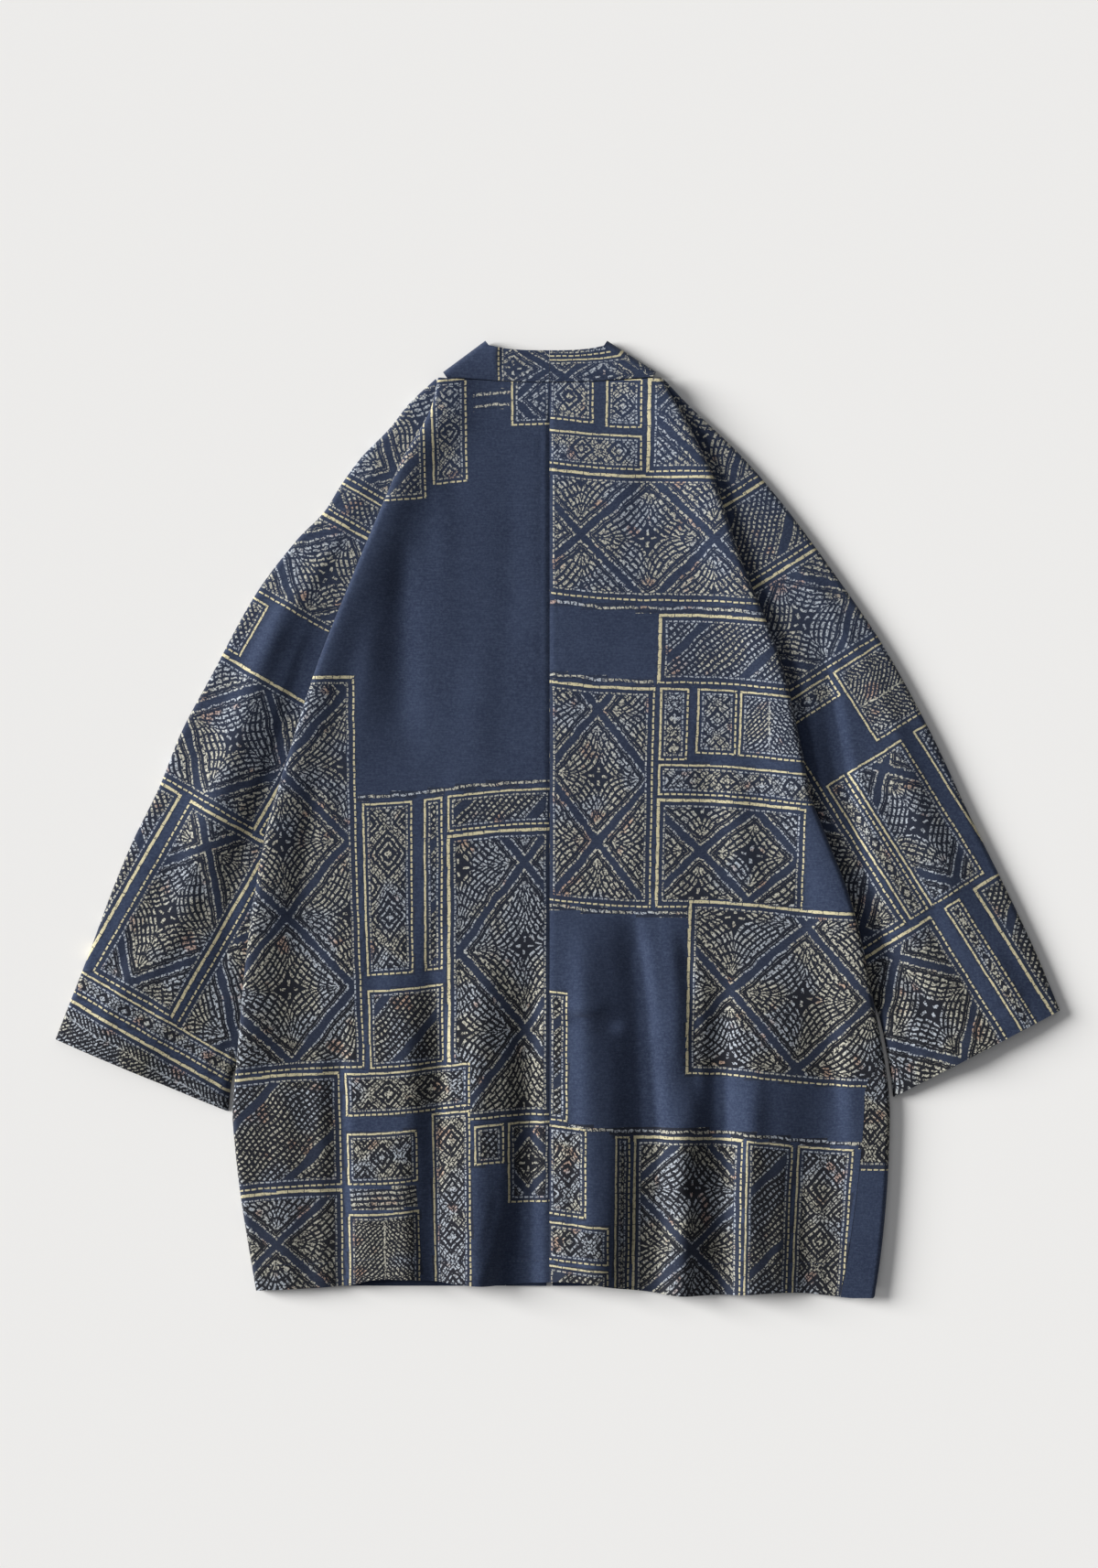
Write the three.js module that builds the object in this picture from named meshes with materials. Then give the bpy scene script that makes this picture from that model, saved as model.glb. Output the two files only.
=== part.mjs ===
// A kimono shirt with raglan sleeves and a band collar, lying face down with its back showing.
// Millimetres, +Z up. The cloth rests on z = 0, +Y runs to the collar and -X is the wearer's left.
// Each piece is one that a maker cuts and sews: two backs, two fronts, two sleeves and a band collar
// in two halves that run from the centre back seam round the neck and down the front edges.
import * as THREE from "three";

// Cloth
const CLOTH = 1.2;
const COLLAR_CLOTH = 2.4; // the collar band is folded double
const SEAM_GAP = 0.3;
const LYING = CLOTH / 2; // height of the middle of a layer that lies on the surface

// Layers, as heights of the middle of the cloth
const BACK_LEVEL = 8.9; // the back between its folds
const TUCK_LEVEL = 9.4; // cloth turned under where the back overhangs a sleeve
const CLOSED_LEVEL = 1.0; // the same turn where it comes down to the front at the side seam
const SLEEVE_LEVEL = 7.5; // the sleeve where it goes under the back
const SLEEVE_EDGE_LEVEL = 7.8; // the sleeve beside its outer fold
const COLLAR_LEVEL = 9.6; // the collar behind the neck
const DROP = TUCK_LEVEL - SLEEVE_LEVEL - CLOTH / 2 - SEAM_GAP; // a tuck's edge comes down to the sleeve

// Body
const CENTRE_BACK = -6;
const HEM_Y = -390;
const HEM_FADE_Y = -290; // the hem's own line is felt up to here
const FRONT_HEM_Y = -387;
const NECK_Y = 366;
const NECK_DIP = 3; // the neck seam at the centre back lies this much lower
const NECK_DIP_FADE = 12; // the power with which the dip dies away below the neck
const NECK_WIDTH = 90;
const SWELL = 26; // how far in from an overhanging edge the back rises towards it
const ROLL = 4.2; // radius of the overhanging edge
const NECK_ROLL = 2.6; // the same at the neck
const NECK_ROLL_END_Y = 310;
const STRIP_AT_HEM = 29; // the right front comes round its edge and shows by this much
const STRIP_AT_UNDERARM = 14;
const JOINING = 20; // the side seam closes over this length below the underarm
const SHOWS_FROM = 3; // heights between which the front's hem changes to the line that shows above
const SHOWN_AT = 9;

// Sleeves and collar
const SLEEVE_CLOSING = 12; // the sleeve's own seam closes over this length below the underarm
const SLEEVE_TAPER = 10; // how far in from that seam the two layers come together
const SLEEVE_PUFF = 1.4; // the upper layer rises by this much in the open
const SLEEVE_RISE = 18; // over this much of its width
const SLEEVE_FOLD_GROWTH = 0.4; // a sleeve's fold reaches its full height over this share of the length
const EDGE_LEAD = 1.6; // the sleeve's edge gets clear of the body ahead of the closing overhang
const CUFF_CLEAR = 3; // the cuff's inner corner lies this far outside the body's edge
const COLLAR_TOP_Y = 389;
const BAND_START = 14; // the band's free edge leaves the fold at the shoulder over this length

// Folds of the back that rise from the hem: where the crest runs, how high it is at the hem, and how far
// it spreads to the left and to the right of the crest.
const BACK_FOLDS = [
  { hemX: -224, middleX: -229, topX: -233, topY: -40, height: 2.4, left: 14, right: 16 },
  { hemX: -128, middleX: -136, topX: -131, topY: 30, height: 6.2, left: 34, right: 15 },
  { hemX: -66, middleX: -44, topX: -76, topY: -50, height: 8.8, left: 30, right: 13 },
  { hemX: 36, middleX: 41, topX: 16, topY: -40, height: 8.2, left: 30, right: 15 },
  { hemX: 104, middleX: 107, topX: 80, topY: 60, height: 7.4, left: 24, right: 14 },
  { hemX: 176, middleX: 178, topX: 186, topY: -20, height: 6.0, left: 32, right: 30 },
];

// The hem seen from above.
const HEM = [
  { x: -250, y: -390.5 },
  { x: -173, y: -386 },
  { x: -150, y: -381 },
  { x: -112, y: -381.5 },
  { x: -59, y: -386 },
  { x: 17, y: -383 },
  { x: 55, y: -389 },
  { x: 112, y: -394.5 },
  { x: 190, y: -392 },
  { x: 245, y: -396.5 },
];

// The left half of the collar band where it lies under the back: its seam to the front and its free edge.
// The right half mirrors it.
const FRONT_BAND = [
  { seamX: -92, seamY: 366, freeX: -57, freeY: 380 },
  { seamX: -79, seamY: 318, freeX: -46, freeY: 332 },
  { seamX: -60.5, seamY: 240, freeX: -27, freeY: 248 },
  { seamX: -47, seamY: 165, freeX: -12.5, freeY: 170 },
  { seamX: -42.5, seamY: 110, freeX: -8.5, freeY: 112 },
  { seamX: -42.5, seamY: -20, freeX: -8.5, freeY: -20 },
  { seamX: -42.5, seamY: -200, freeX: -8.5, freeY: -200 },
  { seamX: -42.5, seamY: HEM_Y, freeX: -8.5, freeY: HEM_Y },
];

// Each side of the garment. The edge table gives where the back ends seen from above and where its seam
// lies under that; the outline table gives the outer fold of the sleeve.
const LEFT = {
  sign: -1,
  edge: [
    { y: 366, fold: -98.5, seam: -92 },
    { y: 337, fold: -106, seam: -98 },
    { y: 301, fold: -127, seam: -117 },
    { y: 265, fold: -143, seam: -131.5 },
    { y: 198, fold: -171, seam: -158 },
    { y: 130, fold: -198, seam: -184 },
    { y: 62, fold: -220, seam: -205 },
    { y: -10, fold: -241, seam: -226 },
    { y: -94, fold: -255, seam: -241 },
    { y: -150, fold: -261, seam: -249 },
    { y: -190, fold: -264.5, seam: -255 },
    { y: -240, fold: -269, seam: -263 },
    { y: -262, fold: -268, seam: -262.5 },
    { y: -315, fold: -262, seam: -256.5 },
    { y: -391, fold: -249.5, seam: -244 },
  ],
  outline: [
    { y: 366, x: -100.5 },
    { y: 346, x: -122 },
    { y: 324, x: -139.5 },
    { y: 301, x: -162 },
    { y: 278, x: -179 },
    { y: 255, x: -193.5 },
    { y: 232, x: -216 },
    { y: 187, x: -250 },
    { y: 119, x: -287 },
    { y: 73, x: -311.5 },
    { y: 27, x: -330 },
    { y: -18, x: -352 },
    { y: -64, x: -371 },
    { y: -109, x: -387.5 },
    { y: -182, x: -416 },
  ],
  sleeveTopY: 352,
  cuffY: -242,
  underarmY: -150,
  closeFromY: -186, // the overhang comes down to the front between these
  closedY: -226,
  seamRises: false, // this side seam stays underneath
  collarTip: { x: -59.5, y: 397.5 },
  collarShoulder: { x: -94.5, y: 371.5 },
  sleeveFolds: [
    { shoulder: 0.66, cuff: 0.42, starts: 0.2, height: 5.2, outward: 0.2, inward: 0.16 },
    { shoulder: 0.3, cuff: 0.2, starts: 0.55, height: 2, outward: 0.12, inward: 0.12 },
  ],
};
const RIGHT = {
  sign: 1,
  edge: [
    { y: 366, fold: 86.5, seam: 80 },
    { y: 346, fold: 98, seam: 90.5 },
    { y: 320, fold: 113, seam: 104 },
    { y: 286, fold: 129, seam: 119 },
    { y: 248, fold: 142, seam: 131 },
    { y: 210, fold: 155, seam: 143 },
    { y: 134, fold: 185, seam: 172 },
    { y: 58, fold: 203, seam: 189 },
    { y: 20, fold: 210.5, seam: 196.5 },
    { y: -18, fold: 225, seam: 211 },
    { y: -56, fold: 240, seam: 226.5 },
    { y: -94, fold: 251, seam: 238 },
    { y: -150, fold: 262.5, seam: 252 },
    { y: -190, fold: 270.5, seam: 263.5 },
    { y: -231, fold: 276, seam: 270.5 },
    { y: -269, fold: 276, seam: 270.5 },
    { y: -315, fold: 273.5, seam: 268 },
    { y: -360, fold: 269, seam: 263.5 },
    { y: -395, fold: 263.5, seam: 258 },
  ],
  outline: [
    { y: 366, x: 88.5 },
    { y: 346, x: 107.5 },
    { y: 301, x: 154 },
    { y: 255, x: 193 },
    { y: 187, x: 242.5 },
    { y: 141, x: 273 },
    { y: 73, x: 310 },
    { y: 5, x: 342 },
    { y: -64, x: 376 },
    { y: -109, x: 397 },
    { y: -158, x: 417.5 },
  ],
  sleeveTopY: 352,
  cuffY: -230,
  underarmY: -104,
  closeFromY: -134,
  closedY: -172,
  seamRises: true,
  collarTip: { x: 42, y: 397.5 },
  collarShoulder: { x: 82.5, y: 371.5 },
  sleeveFolds: [
    { shoulder: 0.7, cuff: 0.62, starts: 0.3, height: 4.2, outward: 0.2, inward: 0.1 },
    { shoulder: 0.35, cuff: 0.3, starts: 0.45, height: 2.6, outward: 0.16, inward: 0.16 },
  ],
};

const smooth = (t) => THREE.MathUtils.smoothstep(t, 0, 1);
const mix = THREE.MathUtils.lerp;
const steps = (count) => Array.from({ length: count + 1 }, (_, i) => i / count);
const stretch = (from, to, count) => steps(count).slice(1).map((t) => mix(from, to, t));
const sum = (values) => values.reduce((a, b) => a + b, 0);

// A soft hump, 1 at its crest, which spreads by different amounts before and after it.
function hump(past, before, after) {
  const away = past / (past < 0 ? before : after);
  return Math.exp(-away * away);
}

// The heights of the rows that the pieces of a side share, so that they meet exactly at its seams.
const rowsBelow = (side) => [HEM_Y, ...stretch(HEM_Y, side.cuffY, 5)];
const rowsBeside = (side) => [
  ...stretch(side.cuffY, side.closedY, side.seamRises ? 8 : 1),
  ...stretch(side.closedY, side.sleeveTopY, 17),
];
const bodyRows = (side) => [...rowsBelow(side), ...rowsBeside(side)];

// A column of a table at a key, on a smooth curve through the rows.
function read(table, column, at, key = "y") {
  const falling = table[0][key] > table[table.length - 1][key];
  const rows = falling ? [...table].reverse() : table;
  const last = rows.length - 1;
  if (at <= rows[0][key]) return rows[0][column];
  if (at >= rows[last][key]) return rows[last][column];
  const i = rows.findIndex((row) => row[key] > at) - 1;
  const slope = (k) => {
    const before = rows[Math.max(k - 1, 0)];
    const after = rows[Math.min(k + 1, last)];
    return (after[column] - before[column]) / (after[key] - before[key]);
  };
  const span = rows[i + 1][key] - rows[i][key];
  const t = (at - rows[i][key]) / span;
  return (
    mix(rows[i][column], rows[i + 1][column], t * t * (3 - 2 * t)) +
    t * (1 - t) * span * ((1 - t) * slope(i) - t * slope(i + 1))
  );
}

// A closed sheet of cloth around a grid of middle points, grid[row][column].
function sheet(grid, thickness) {
  const rows = grid.length;
  const columns = grid[0].length;
  const points = [];
  const normal = (r, c) => {
    const across = new THREE.Vector3().subVectors(
      grid[r][Math.min(c + 1, columns - 1)],
      grid[r][Math.max(c - 1, 0)],
    );
    const along = new THREE.Vector3().subVectors(
      grid[Math.min(r + 1, rows - 1)][c],
      grid[Math.max(r - 1, 0)][c],
    );
    return across.cross(along).normalize();
  };
  for (const side of [0.5, -0.5]) {
    grid.forEach((row, r) =>
      row.forEach((middle, c) => {
        points.push(middle.clone().addScaledVector(normal(r, c), side * thickness));
      }),
    );
  }
  const at = (face, r, c) => face * rows * columns + r * columns + c;
  const faces = [];
  const quad = (a, b, c, d) => faces.push(a, b, c, a, c, d);
  const lastRow = rows - 1;
  const lastColumn = columns - 1;
  for (let r = 0; r < lastRow; r++) {
    for (let c = 0; c < lastColumn; c++) {
      quad(at(0, r, c), at(0, r, c + 1), at(0, r + 1, c + 1), at(0, r + 1, c));
      quad(at(1, r, c), at(1, r + 1, c), at(1, r + 1, c + 1), at(1, r, c + 1));
    }
    quad(at(0, r, 0), at(0, r + 1, 0), at(1, r + 1, 0), at(1, r, 0));
    quad(at(0, r + 1, lastColumn), at(0, r, lastColumn), at(1, r, lastColumn), at(1, r + 1, lastColumn));
  }
  for (let c = 0; c < lastColumn; c++) {
    quad(at(0, 0, c + 1), at(0, 0, c), at(1, 0, c), at(1, 0, c + 1));
    quad(at(0, lastRow, c), at(0, lastRow, c + 1), at(1, lastRow, c + 1), at(1, lastRow, c));
  }
  const geometry = new THREE.BufferGeometry().setFromPoints(points);
  geometry.setIndex(faces);
  return facingOut(geometry);
}

// Turns the faces round if the solid is inside out.
function facingOut(geometry) {
  const index = geometry.getIndex().array;
  const position = geometry.getAttribute("position");
  const [a, b, c] = [new THREE.Vector3(), new THREE.Vector3(), new THREE.Vector3()];
  let volume = 0;
  for (let i = 0; i < index.length; i += 3) {
    a.fromBufferAttribute(position, index[i]);
    b.fromBufferAttribute(position, index[i + 1]);
    c.fromBufferAttribute(position, index[i + 2]);
    volume += a.dot(b.cross(c));
  }
  if (volume < 0) {
    const turned = Array.from(index);
    for (let i = 0; i < turned.length; i += 3) {
      [turned[i + 1], turned[i + 2]] = [turned[i + 2], turned[i + 1]];
    }
    geometry.setIndex(turned);
  }
  geometry.computeVertexNormals();
  return geometry;
}

// Height of the back between its edges.
function backHeight(x, y) {
  return BACK_FOLDS.reduce((height, fold) => {
    const t = THREE.MathUtils.clamp((y - HEM_Y) / (fold.topY - HEM_Y), 0, 1);
    const control = 2 * fold.middleX - (fold.hemX + fold.topX) / 2;
    const crest = mix(mix(fold.hemX, control, t), mix(control, fold.topX, t), t);
    return height + fold.height * (1 - smooth(t)) * hump(x - crest, fold.left, fold.right);
  }, BACK_LEVEL);
}

// How the body runs round one side at a height y: along the back, over the rolled edge, in under it and
// down, and then along the front. Distances out from the centre back are positive on both sides.
function sideAt(side, y) {
  const out = (x) => side.sign * (x - CENTRE_BACK);
  const fold = out(read(side.edge, "fold", y)) - CLOTH / 2;
  const seam = out(read(side.edge, "seam", y));
  const closing = smooth((side.closeFromY - y) / (side.closeFromY - side.closedY));
  const bottom = mix(TUCK_LEVEL, CLOSED_LEVEL, closing);
  const roll = mix(ROLL, NECK_ROLL, smooth((y - NECK_ROLL_END_Y) / (NECK_Y - NECK_ROLL_END_Y)));
  const joined = smooth((side.underarmY - y) / JOINING);
  const drop = mix(DROP, bottom - LYING, joined);
  const turn = fold - roll;
  const foot = Math.min(seam + CLOTH / 2, turn - 0.5);
  const lengths = [turn, Math.PI * roll, turn - foot, drop];
  return { y, turn, roll, joined, closing, bottom, foot, drop, lengths, crest: bottom + 2 * roll };
}

// The point of a body section at a distance along it from the centre back.
function onSide(side, section, distance) {
  const { turn, roll, bottom, foot, crest, lengths, y } = section;
  const place = (out, z) => new THREE.Vector3(CENTRE_BACK + side.sign * out, y, z);
  if (distance <= lengths[0]) {
    const x = CENTRE_BACK + side.sign * distance;
    const edgeX = CENTRE_BACK + side.sign * turn;
    const swell = (crest - backHeight(edgeX, y)) * hump(turn - distance, SWELL, SWELL);
    return place(distance, backHeight(x, y) + swell);
  }
  const past = distance - lengths[0];
  if (past <= lengths[1]) {
    const angle = past / roll;
    return place(turn + roll * Math.sin(angle), bottom + roll + roll * Math.cos(angle));
  }
  const under = past - lengths[1];
  if (under <= lengths[2]) return place(turn - under, bottom);
  return place(foot, bottom - (under - lengths[2]));
}

// How far the side seam has moved from underneath to the top, from 0 to 1.
function seamRise(side, y) {
  return side.seamRises ? smooth((side.closedY - y) / (side.closedY - side.cuffY)) : 0;
}

// Where the back ends on its section. It stops short of the edge where the front comes round to meet it.
function backEnd(side, section) {
  const whole = sum(section.lengths);
  const strip = mix(STRIP_AT_HEM, STRIP_AT_UNDERARM, (section.y - HEM_Y) / (side.underarmY - HEM_Y));
  return mix(whole, section.lengths[0] - (strip - section.roll), seamRise(side, section.y));
}

// How far a point moves along Y to follow the hem. The shift fades out above the hem.
function hemShift(hemY, y) {
  const fade = (HEM_FADE_Y - y) / (HEM_FADE_Y - HEM_Y);
  return fade > 0 ? (hemY - HEM_Y) * fade * fade : 0;
}

function backPanel(side) {
  const flat = steps(18).map((t) => ({ part: 0, t: Math.pow(t, 0.94) }));
  const rolled = steps(5).slice(1).map((t) => ({ part: 1, t }));
  const tucked = [{ part: 2, t: 0.5 }, { part: 2, t: 1 }, { part: 3, t: 1 }];
  const columns = [...flat, ...rolled, ...tucked];
  const grid = [...bodyRows(side), NECK_Y].map((y) => {
    const section = sideAt(side, y);
    const whole = sum(section.lengths);
    const end = backEnd(side, section);
    return columns.map(({ part, t }, i) => {
      const share = i / (columns.length - 1);
      const own = sum(section.lengths.slice(0, part)) + t * section.lengths[part];
      const along = mix((own * end) / whole, share * end, seamRise(side, y));
      const point = onSide(side, section, mix(SEAM_GAP / 2, end, along / end));
      const reach = (point.x - CENTRE_BACK) / NECK_WIDTH;
      const nearNeck = Math.pow((y - HEM_Y) / (NECK_Y - HEM_Y), NECK_DIP_FADE);
      const neck = Math.max(0, 1 - reach * reach) * nearNeck;
      point.y += hemShift(read(HEM, "y", point.x, "x"), y) - NECK_DIP * neck;
      return point;
    });
  });
  return sheet(grid, CLOTH);
}

// X of a column of the collar band on one side, at a height y on that edge.
function bandX(side, edge, y) {
  const x = read(FRONT_BAND, `${edge}X`, y, `${edge}Y`);
  return CENTRE_BACK + side.sign * (CENTRE_BACK - x);
}

function frontPanel(side) {
  const lyingColumns = 4;
  const columns = steps(side.seamRises ? 14 : lyingColumns);
  const grid = bodyRows(side).map((y) => {
    const section = sideAt(side, y);
    const whole = sum(section.lengths);
    const rise = seamRise(side, y);
    const inner = side.sign * (bandX(side, "seam", y) - CENTRE_BACK) + SEAM_GAP;
    const lying = section.foot - CLOTH / 2 - SEAM_GAP - inner;
    const gap = SEAM_GAP * (1 + 3 * Math.min(1, rise * 10) * (1 - rise));
    const round = rise > 0 ? whole - backEnd(side, section) + CLOTH / 2 + SEAM_GAP - gap : 0;
    return columns.map((t, i) => {
      const past = (i - lyingColumns) / (columns.length - 1 - lyingColumns);
      const bunched = i <= lyingColumns ? (i / lyingColumns) * lying : lying + past * round;
      const distance = mix(t * (lying + round), bunched, smooth(rise * 3));
      if (distance <= lying) {
        const shiftedY = y + hemShift(FRONT_HEM_Y, y);
        return new THREE.Vector3(CENTRE_BACK + side.sign * (inner + distance), shiftedY, LYING);
      }
      const point = onSide(side, section, whole + CLOTH / 2 + SEAM_GAP - (distance - lying));
      const shown = smooth((point.z - SHOWS_FROM) / (SHOWN_AT - SHOWS_FROM));
      point.z = Math.max(point.z, LYING);
      point.y += hemShift(mix(FRONT_HEM_Y, read(HEM, "y", point.x, "x"), shown), y);
      return point;
    });
  });
  return sheet(grid, CLOTH);
}

// Height of the upper layer of a sleeve. v is the share of the way from the shoulder to the cuff, w the
// share of the way in from its outer fold.
function sleeveHeight(side, v, w, width, covered) {
  const folds = side.sleeveFolds.map((fold) => {
    const crest = mix(fold.shoulder, fold.cuff, v);
    const grown = smooth((v - fold.starts) / SLEEVE_FOLD_GROWTH);
    return fold.height * grown * hump(w - crest, fold.outward, fold.inward);
  });
  const inner = smooth(((1 - w) * width - covered) / SLEEVE_RISE);
  const outer = smooth((w * width) / SLEEVE_RISE);
  return mix(SLEEVE_EDGE_LEVEL, SLEEVE_LEVEL, w) + (sum(folds) + SLEEVE_PUFF) * inner * outer;
}

function sleeve(side) {
  const top = side.outline[0];
  const cuff = side.outline[side.outline.length - 1];
  const grid = [side.cuffY, ...rowsBeside(side)].map((innerY) => {
    const v = (side.sleeveTopY - innerY) / (side.sleeveTopY - side.cuffY);
    const outerY = mix(top.y, cuff.y, v);
    const section = sideAt(side, innerY);
    const closed = smooth((side.underarmY - innerY) / SLEEVE_CLOSING);
    const outer = new THREE.Vector2(read(side.outline, "x", outerY), outerY);
    const foldX = read(side.edge, "fold", innerY);
    const clear = foldX + side.sign * (2 * SEAM_GAP + CUFF_CLEAR * section.closing * v * v);
    const beside = read(side.edge, "seam", innerY) + side.sign * section.joined * (CLOTH + 2 * SEAM_GAP);
    const seamX = mix(beside, clear, Math.min(1, EDGE_LEAD * section.closing));
    const inner = new THREE.Vector2(seamX, innerY);
    const inward = new THREE.Vector2().subVectors(inner, outer);
    const width = inward.length() - CLOTH / 2;
    inward.normalize();
    const radius = (SLEEVE_EDGE_LEVEL - LYING) / 2;
    const covered = mix(Math.abs(foldX - seamX) + 3, SLEEVE_TAPER, closed);
    const place = (from, z) => {
      const point = inward.clone().multiplyScalar(from + CLOTH / 2).add(outer);
      return new THREE.Vector3(point.x, point.y, z);
    };
    const lower = steps(4).map((t) => place(mix(width, radius, t), LYING));
    const rolled = steps(5).slice(1, -1).map((t) => {
      const angle = t * Math.PI;
      return place(radius - radius * Math.sin(angle), LYING + radius - radius * Math.cos(angle));
    });
    const upper = steps(11).map((t) => {
      const from = mix(radius, width, t);
      const open = sleeveHeight(side, v, from / width, width, covered);
      const near = Math.min((width - from) / SLEEVE_TAPER, 1);
      const shut = mix(LYING + CLOTH + SEAM_GAP, open, Math.sqrt(1 - (1 - near) * (1 - near)));
      return place(from, mix(open, shut, closed));
    });
    return [...lower, ...rolled, ...upper];
  });
  return sheet(grid, CLOTH);
}

// Half of the collar: behind the neck, round the fold at the shoulder and down the front edge.
function collarHalf(side) {
  const radius = (COLLAR_LEVEL - COLLAR_CLOTH / 2) / 2;
  const along = new THREE.Vector2(
    side.collarTip.x - side.collarShoulder.x,
    side.collarTip.y - side.collarShoulder.y,
  ).normalize();
  const outward = new THREE.Vector2(side.sign * along.y, -side.sign * along.x);
  const inset = radius + COLLAR_CLOTH / 2;
  const axis = (w) =>
    new THREE.Vector2(
      mix(side.collarShoulder.x, side.collarTip.x, w) - outward.x * inset,
      mix(side.collarShoulder.y, side.collarTip.y, w) - outward.y * inset,
    );
  const across = steps(3);
  const startX = CENTRE_BACK + (side.sign * SEAM_GAP) / 2;
  const behind = steps(6).slice(0, -1).map((t) =>
    across.map((w) => {
      const x = mix(startX, axis(w).x, t);
      const reach = (x - CENTRE_BACK) / NECK_WIDTH;
      const seamY = NECK_Y - NECK_DIP * (1 - reach * reach) + SEAM_GAP;
      const bend = t * t * t;
      const edgeY = Math.max(seamY, mix(seamY, axis(0).y, bend));
      return new THREE.Vector3(x, mix(edgeY, mix(COLLAR_TOP_Y, axis(1).y, bend), w), COLLAR_LEVEL);
    }),
  );
  const folded = steps(6).map((t) =>
    across.map((w) => {
      const from = axis(w);
      const angle = t * Math.PI;
      const reach = radius * Math.sin(angle);
      return new THREE.Vector3(
        from.x + outward.x * reach,
        from.y + outward.y * reach,
        COLLAR_LEVEL - radius * (1 - Math.cos(angle)),
      );
    }),
  );
  const freeTop = axis(1).y;
  const down = bodyRows(side).reverse().map((seamY) => {
    const t = (side.sleeveTopY - seamY) / (side.sleeveTopY - HEM_Y);
    const freeY = mix(freeTop - BAND_START, HEM_Y, t);
    const seam = new THREE.Vector3(bandX(side, "seam", seamY), seamY, COLLAR_CLOTH / 2);
    const free = new THREE.Vector3(bandX(side, "free", freeY), freeY, COLLAR_CLOTH / 2);
    seam.y += hemShift(FRONT_HEM_Y, seamY);
    free.y += hemShift(FRONT_HEM_Y, freeY);
    return across.map((w) => new THREE.Vector3().lerpVectors(seam, free, w));
  });
  return sheet([...behind, ...folded, ...down], COLLAR_CLOTH);
}

const cotton = (color) => new THREE.MeshStandardMaterial({ color, roughness: 0.92, metalness: 0 });
const indigoPrint = () => cotton(0x353f56);
const plainIndigo = () => cotton(0x333b4f);

function piece(name, geometry, material) {
  const mesh = new THREE.Mesh(geometry, material);
  mesh.name = name;
  return mesh;
}

const shirt = new THREE.Group();
for (const [word, side] of [["left", LEFT], ["right", RIGHT]]) {
  shirt.add(piece(`front_${word}`, frontPanel(side), plainIndigo()));
  shirt.add(piece(`sleeve_${word}`, sleeve(side), indigoPrint()));
  shirt.add(piece(`back_${word}`, backPanel(side), indigoPrint()));
  shirt.add(piece(`collar_${word}`, collarHalf(side), indigoPrint()));
}
export default shirt;
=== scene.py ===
"""Looks of a printed cotton kimono shirt that lies face down: its cloth, print, seams, stitches and stage."""
import math

import bpy
import numpy as np
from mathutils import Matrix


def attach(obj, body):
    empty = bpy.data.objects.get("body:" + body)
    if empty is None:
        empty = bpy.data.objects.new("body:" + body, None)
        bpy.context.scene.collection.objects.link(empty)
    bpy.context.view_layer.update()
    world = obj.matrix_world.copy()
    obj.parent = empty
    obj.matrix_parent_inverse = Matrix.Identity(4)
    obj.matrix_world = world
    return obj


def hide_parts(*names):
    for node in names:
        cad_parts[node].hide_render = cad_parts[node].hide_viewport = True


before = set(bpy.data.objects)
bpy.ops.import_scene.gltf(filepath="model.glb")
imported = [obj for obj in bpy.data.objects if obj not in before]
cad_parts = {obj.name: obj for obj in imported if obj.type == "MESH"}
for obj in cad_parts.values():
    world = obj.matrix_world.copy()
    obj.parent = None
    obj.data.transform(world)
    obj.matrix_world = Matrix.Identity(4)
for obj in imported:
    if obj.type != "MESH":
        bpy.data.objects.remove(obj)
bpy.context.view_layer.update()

bl_info = {
    "name": "Kimono Shirt Laid Flat",
    "version": (1, 0, 0),
    "blender": (4, 5, 0),
    "location": "View3D > Sidebar > Kimono Shirt",
    "description": "Builds the cloth, print, seams and stage of a kimono shirt that lies face down",
    "category": "Object",
}

BODY = "root"
MM = 0.001
DIAGONAL = 0.7071

# Layers of cloth in millimetres: thickness of the solids' cloth, gap at its seams, and heights of the
# middle of each layer
SOLID_CLOTH = 1.2
SEAM_GAP = 0.3
LYING = 0.6
LOWEST_UPPER = 2.4
BACK_LEVEL = 8.9
TUCK_LEVEL = 9.4
CLOSED_LEVEL = 1.0
SLEEVE_LEVEL = 7.5
SLEEVE_EDGE_LEVEL = 7.8
COLLAR_LEVEL = 9.6
COLLAR_CLOTH = 2.4
DROP = TUCK_LEVEL - SLEEVE_LEVEL - SOLID_CLOTH / 2 - SEAM_GAP

# Body, in millimetres
CENTRE_BACK = -6
HEM_Y = -390
HEM_FADE_Y = -290
FRONT_HEM_Y = -387
NECK_Y = 366
NECK_DIP = 3
NECK_DIP_FADE = 12
NECK_WIDTH = 90
SWELL = 26
ROLL = 4.2
NECK_ROLL = 2.6
NECK_ROLL_END_Y = 310
STRIP_AT_HEM = 29
STRIP_AT_UNDERARM = 14
JOINING = 20

# Sleeves and collar, in millimetres
SLEEVE_CLOSING = 12
SLEEVE_TAPER = 10
SLEEVE_PUFF = 1.4
SLEEVE_RISE = 18
SLEEVE_FOLD_GROWTH = 0.4
EDGE_LEAD = 1.6
CUFF_CLEAR = 3
COLLAR_TOP_Y = 389
BAND_START = 14
BAND_WIDTH = 34
COLLAR_STEP = 4.0
COLLAR_STEP_AT = 40
COLLAR_STEP_LENGTH = 5

# Columns of each piece's mesh: across the back and round its roll, across each front (what lies flat,
# and in all), across a sleeve's lower layer, fold and upper layer, and up the collar
BACK_COLUMNS = 88
ROLL_COLUMNS = 10
FLAT_FRONT_COLUMNS = (34, 34)
WRAPPED_FRONT_COLUMNS = (26, 70)
SLEEVE_COLUMNS = (26, 8, 64)
COLLAR_COLUMNS = 15
COLLAR_NECK_ROWS = 33
COLLAR_TURN_ROWS = 13

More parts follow.
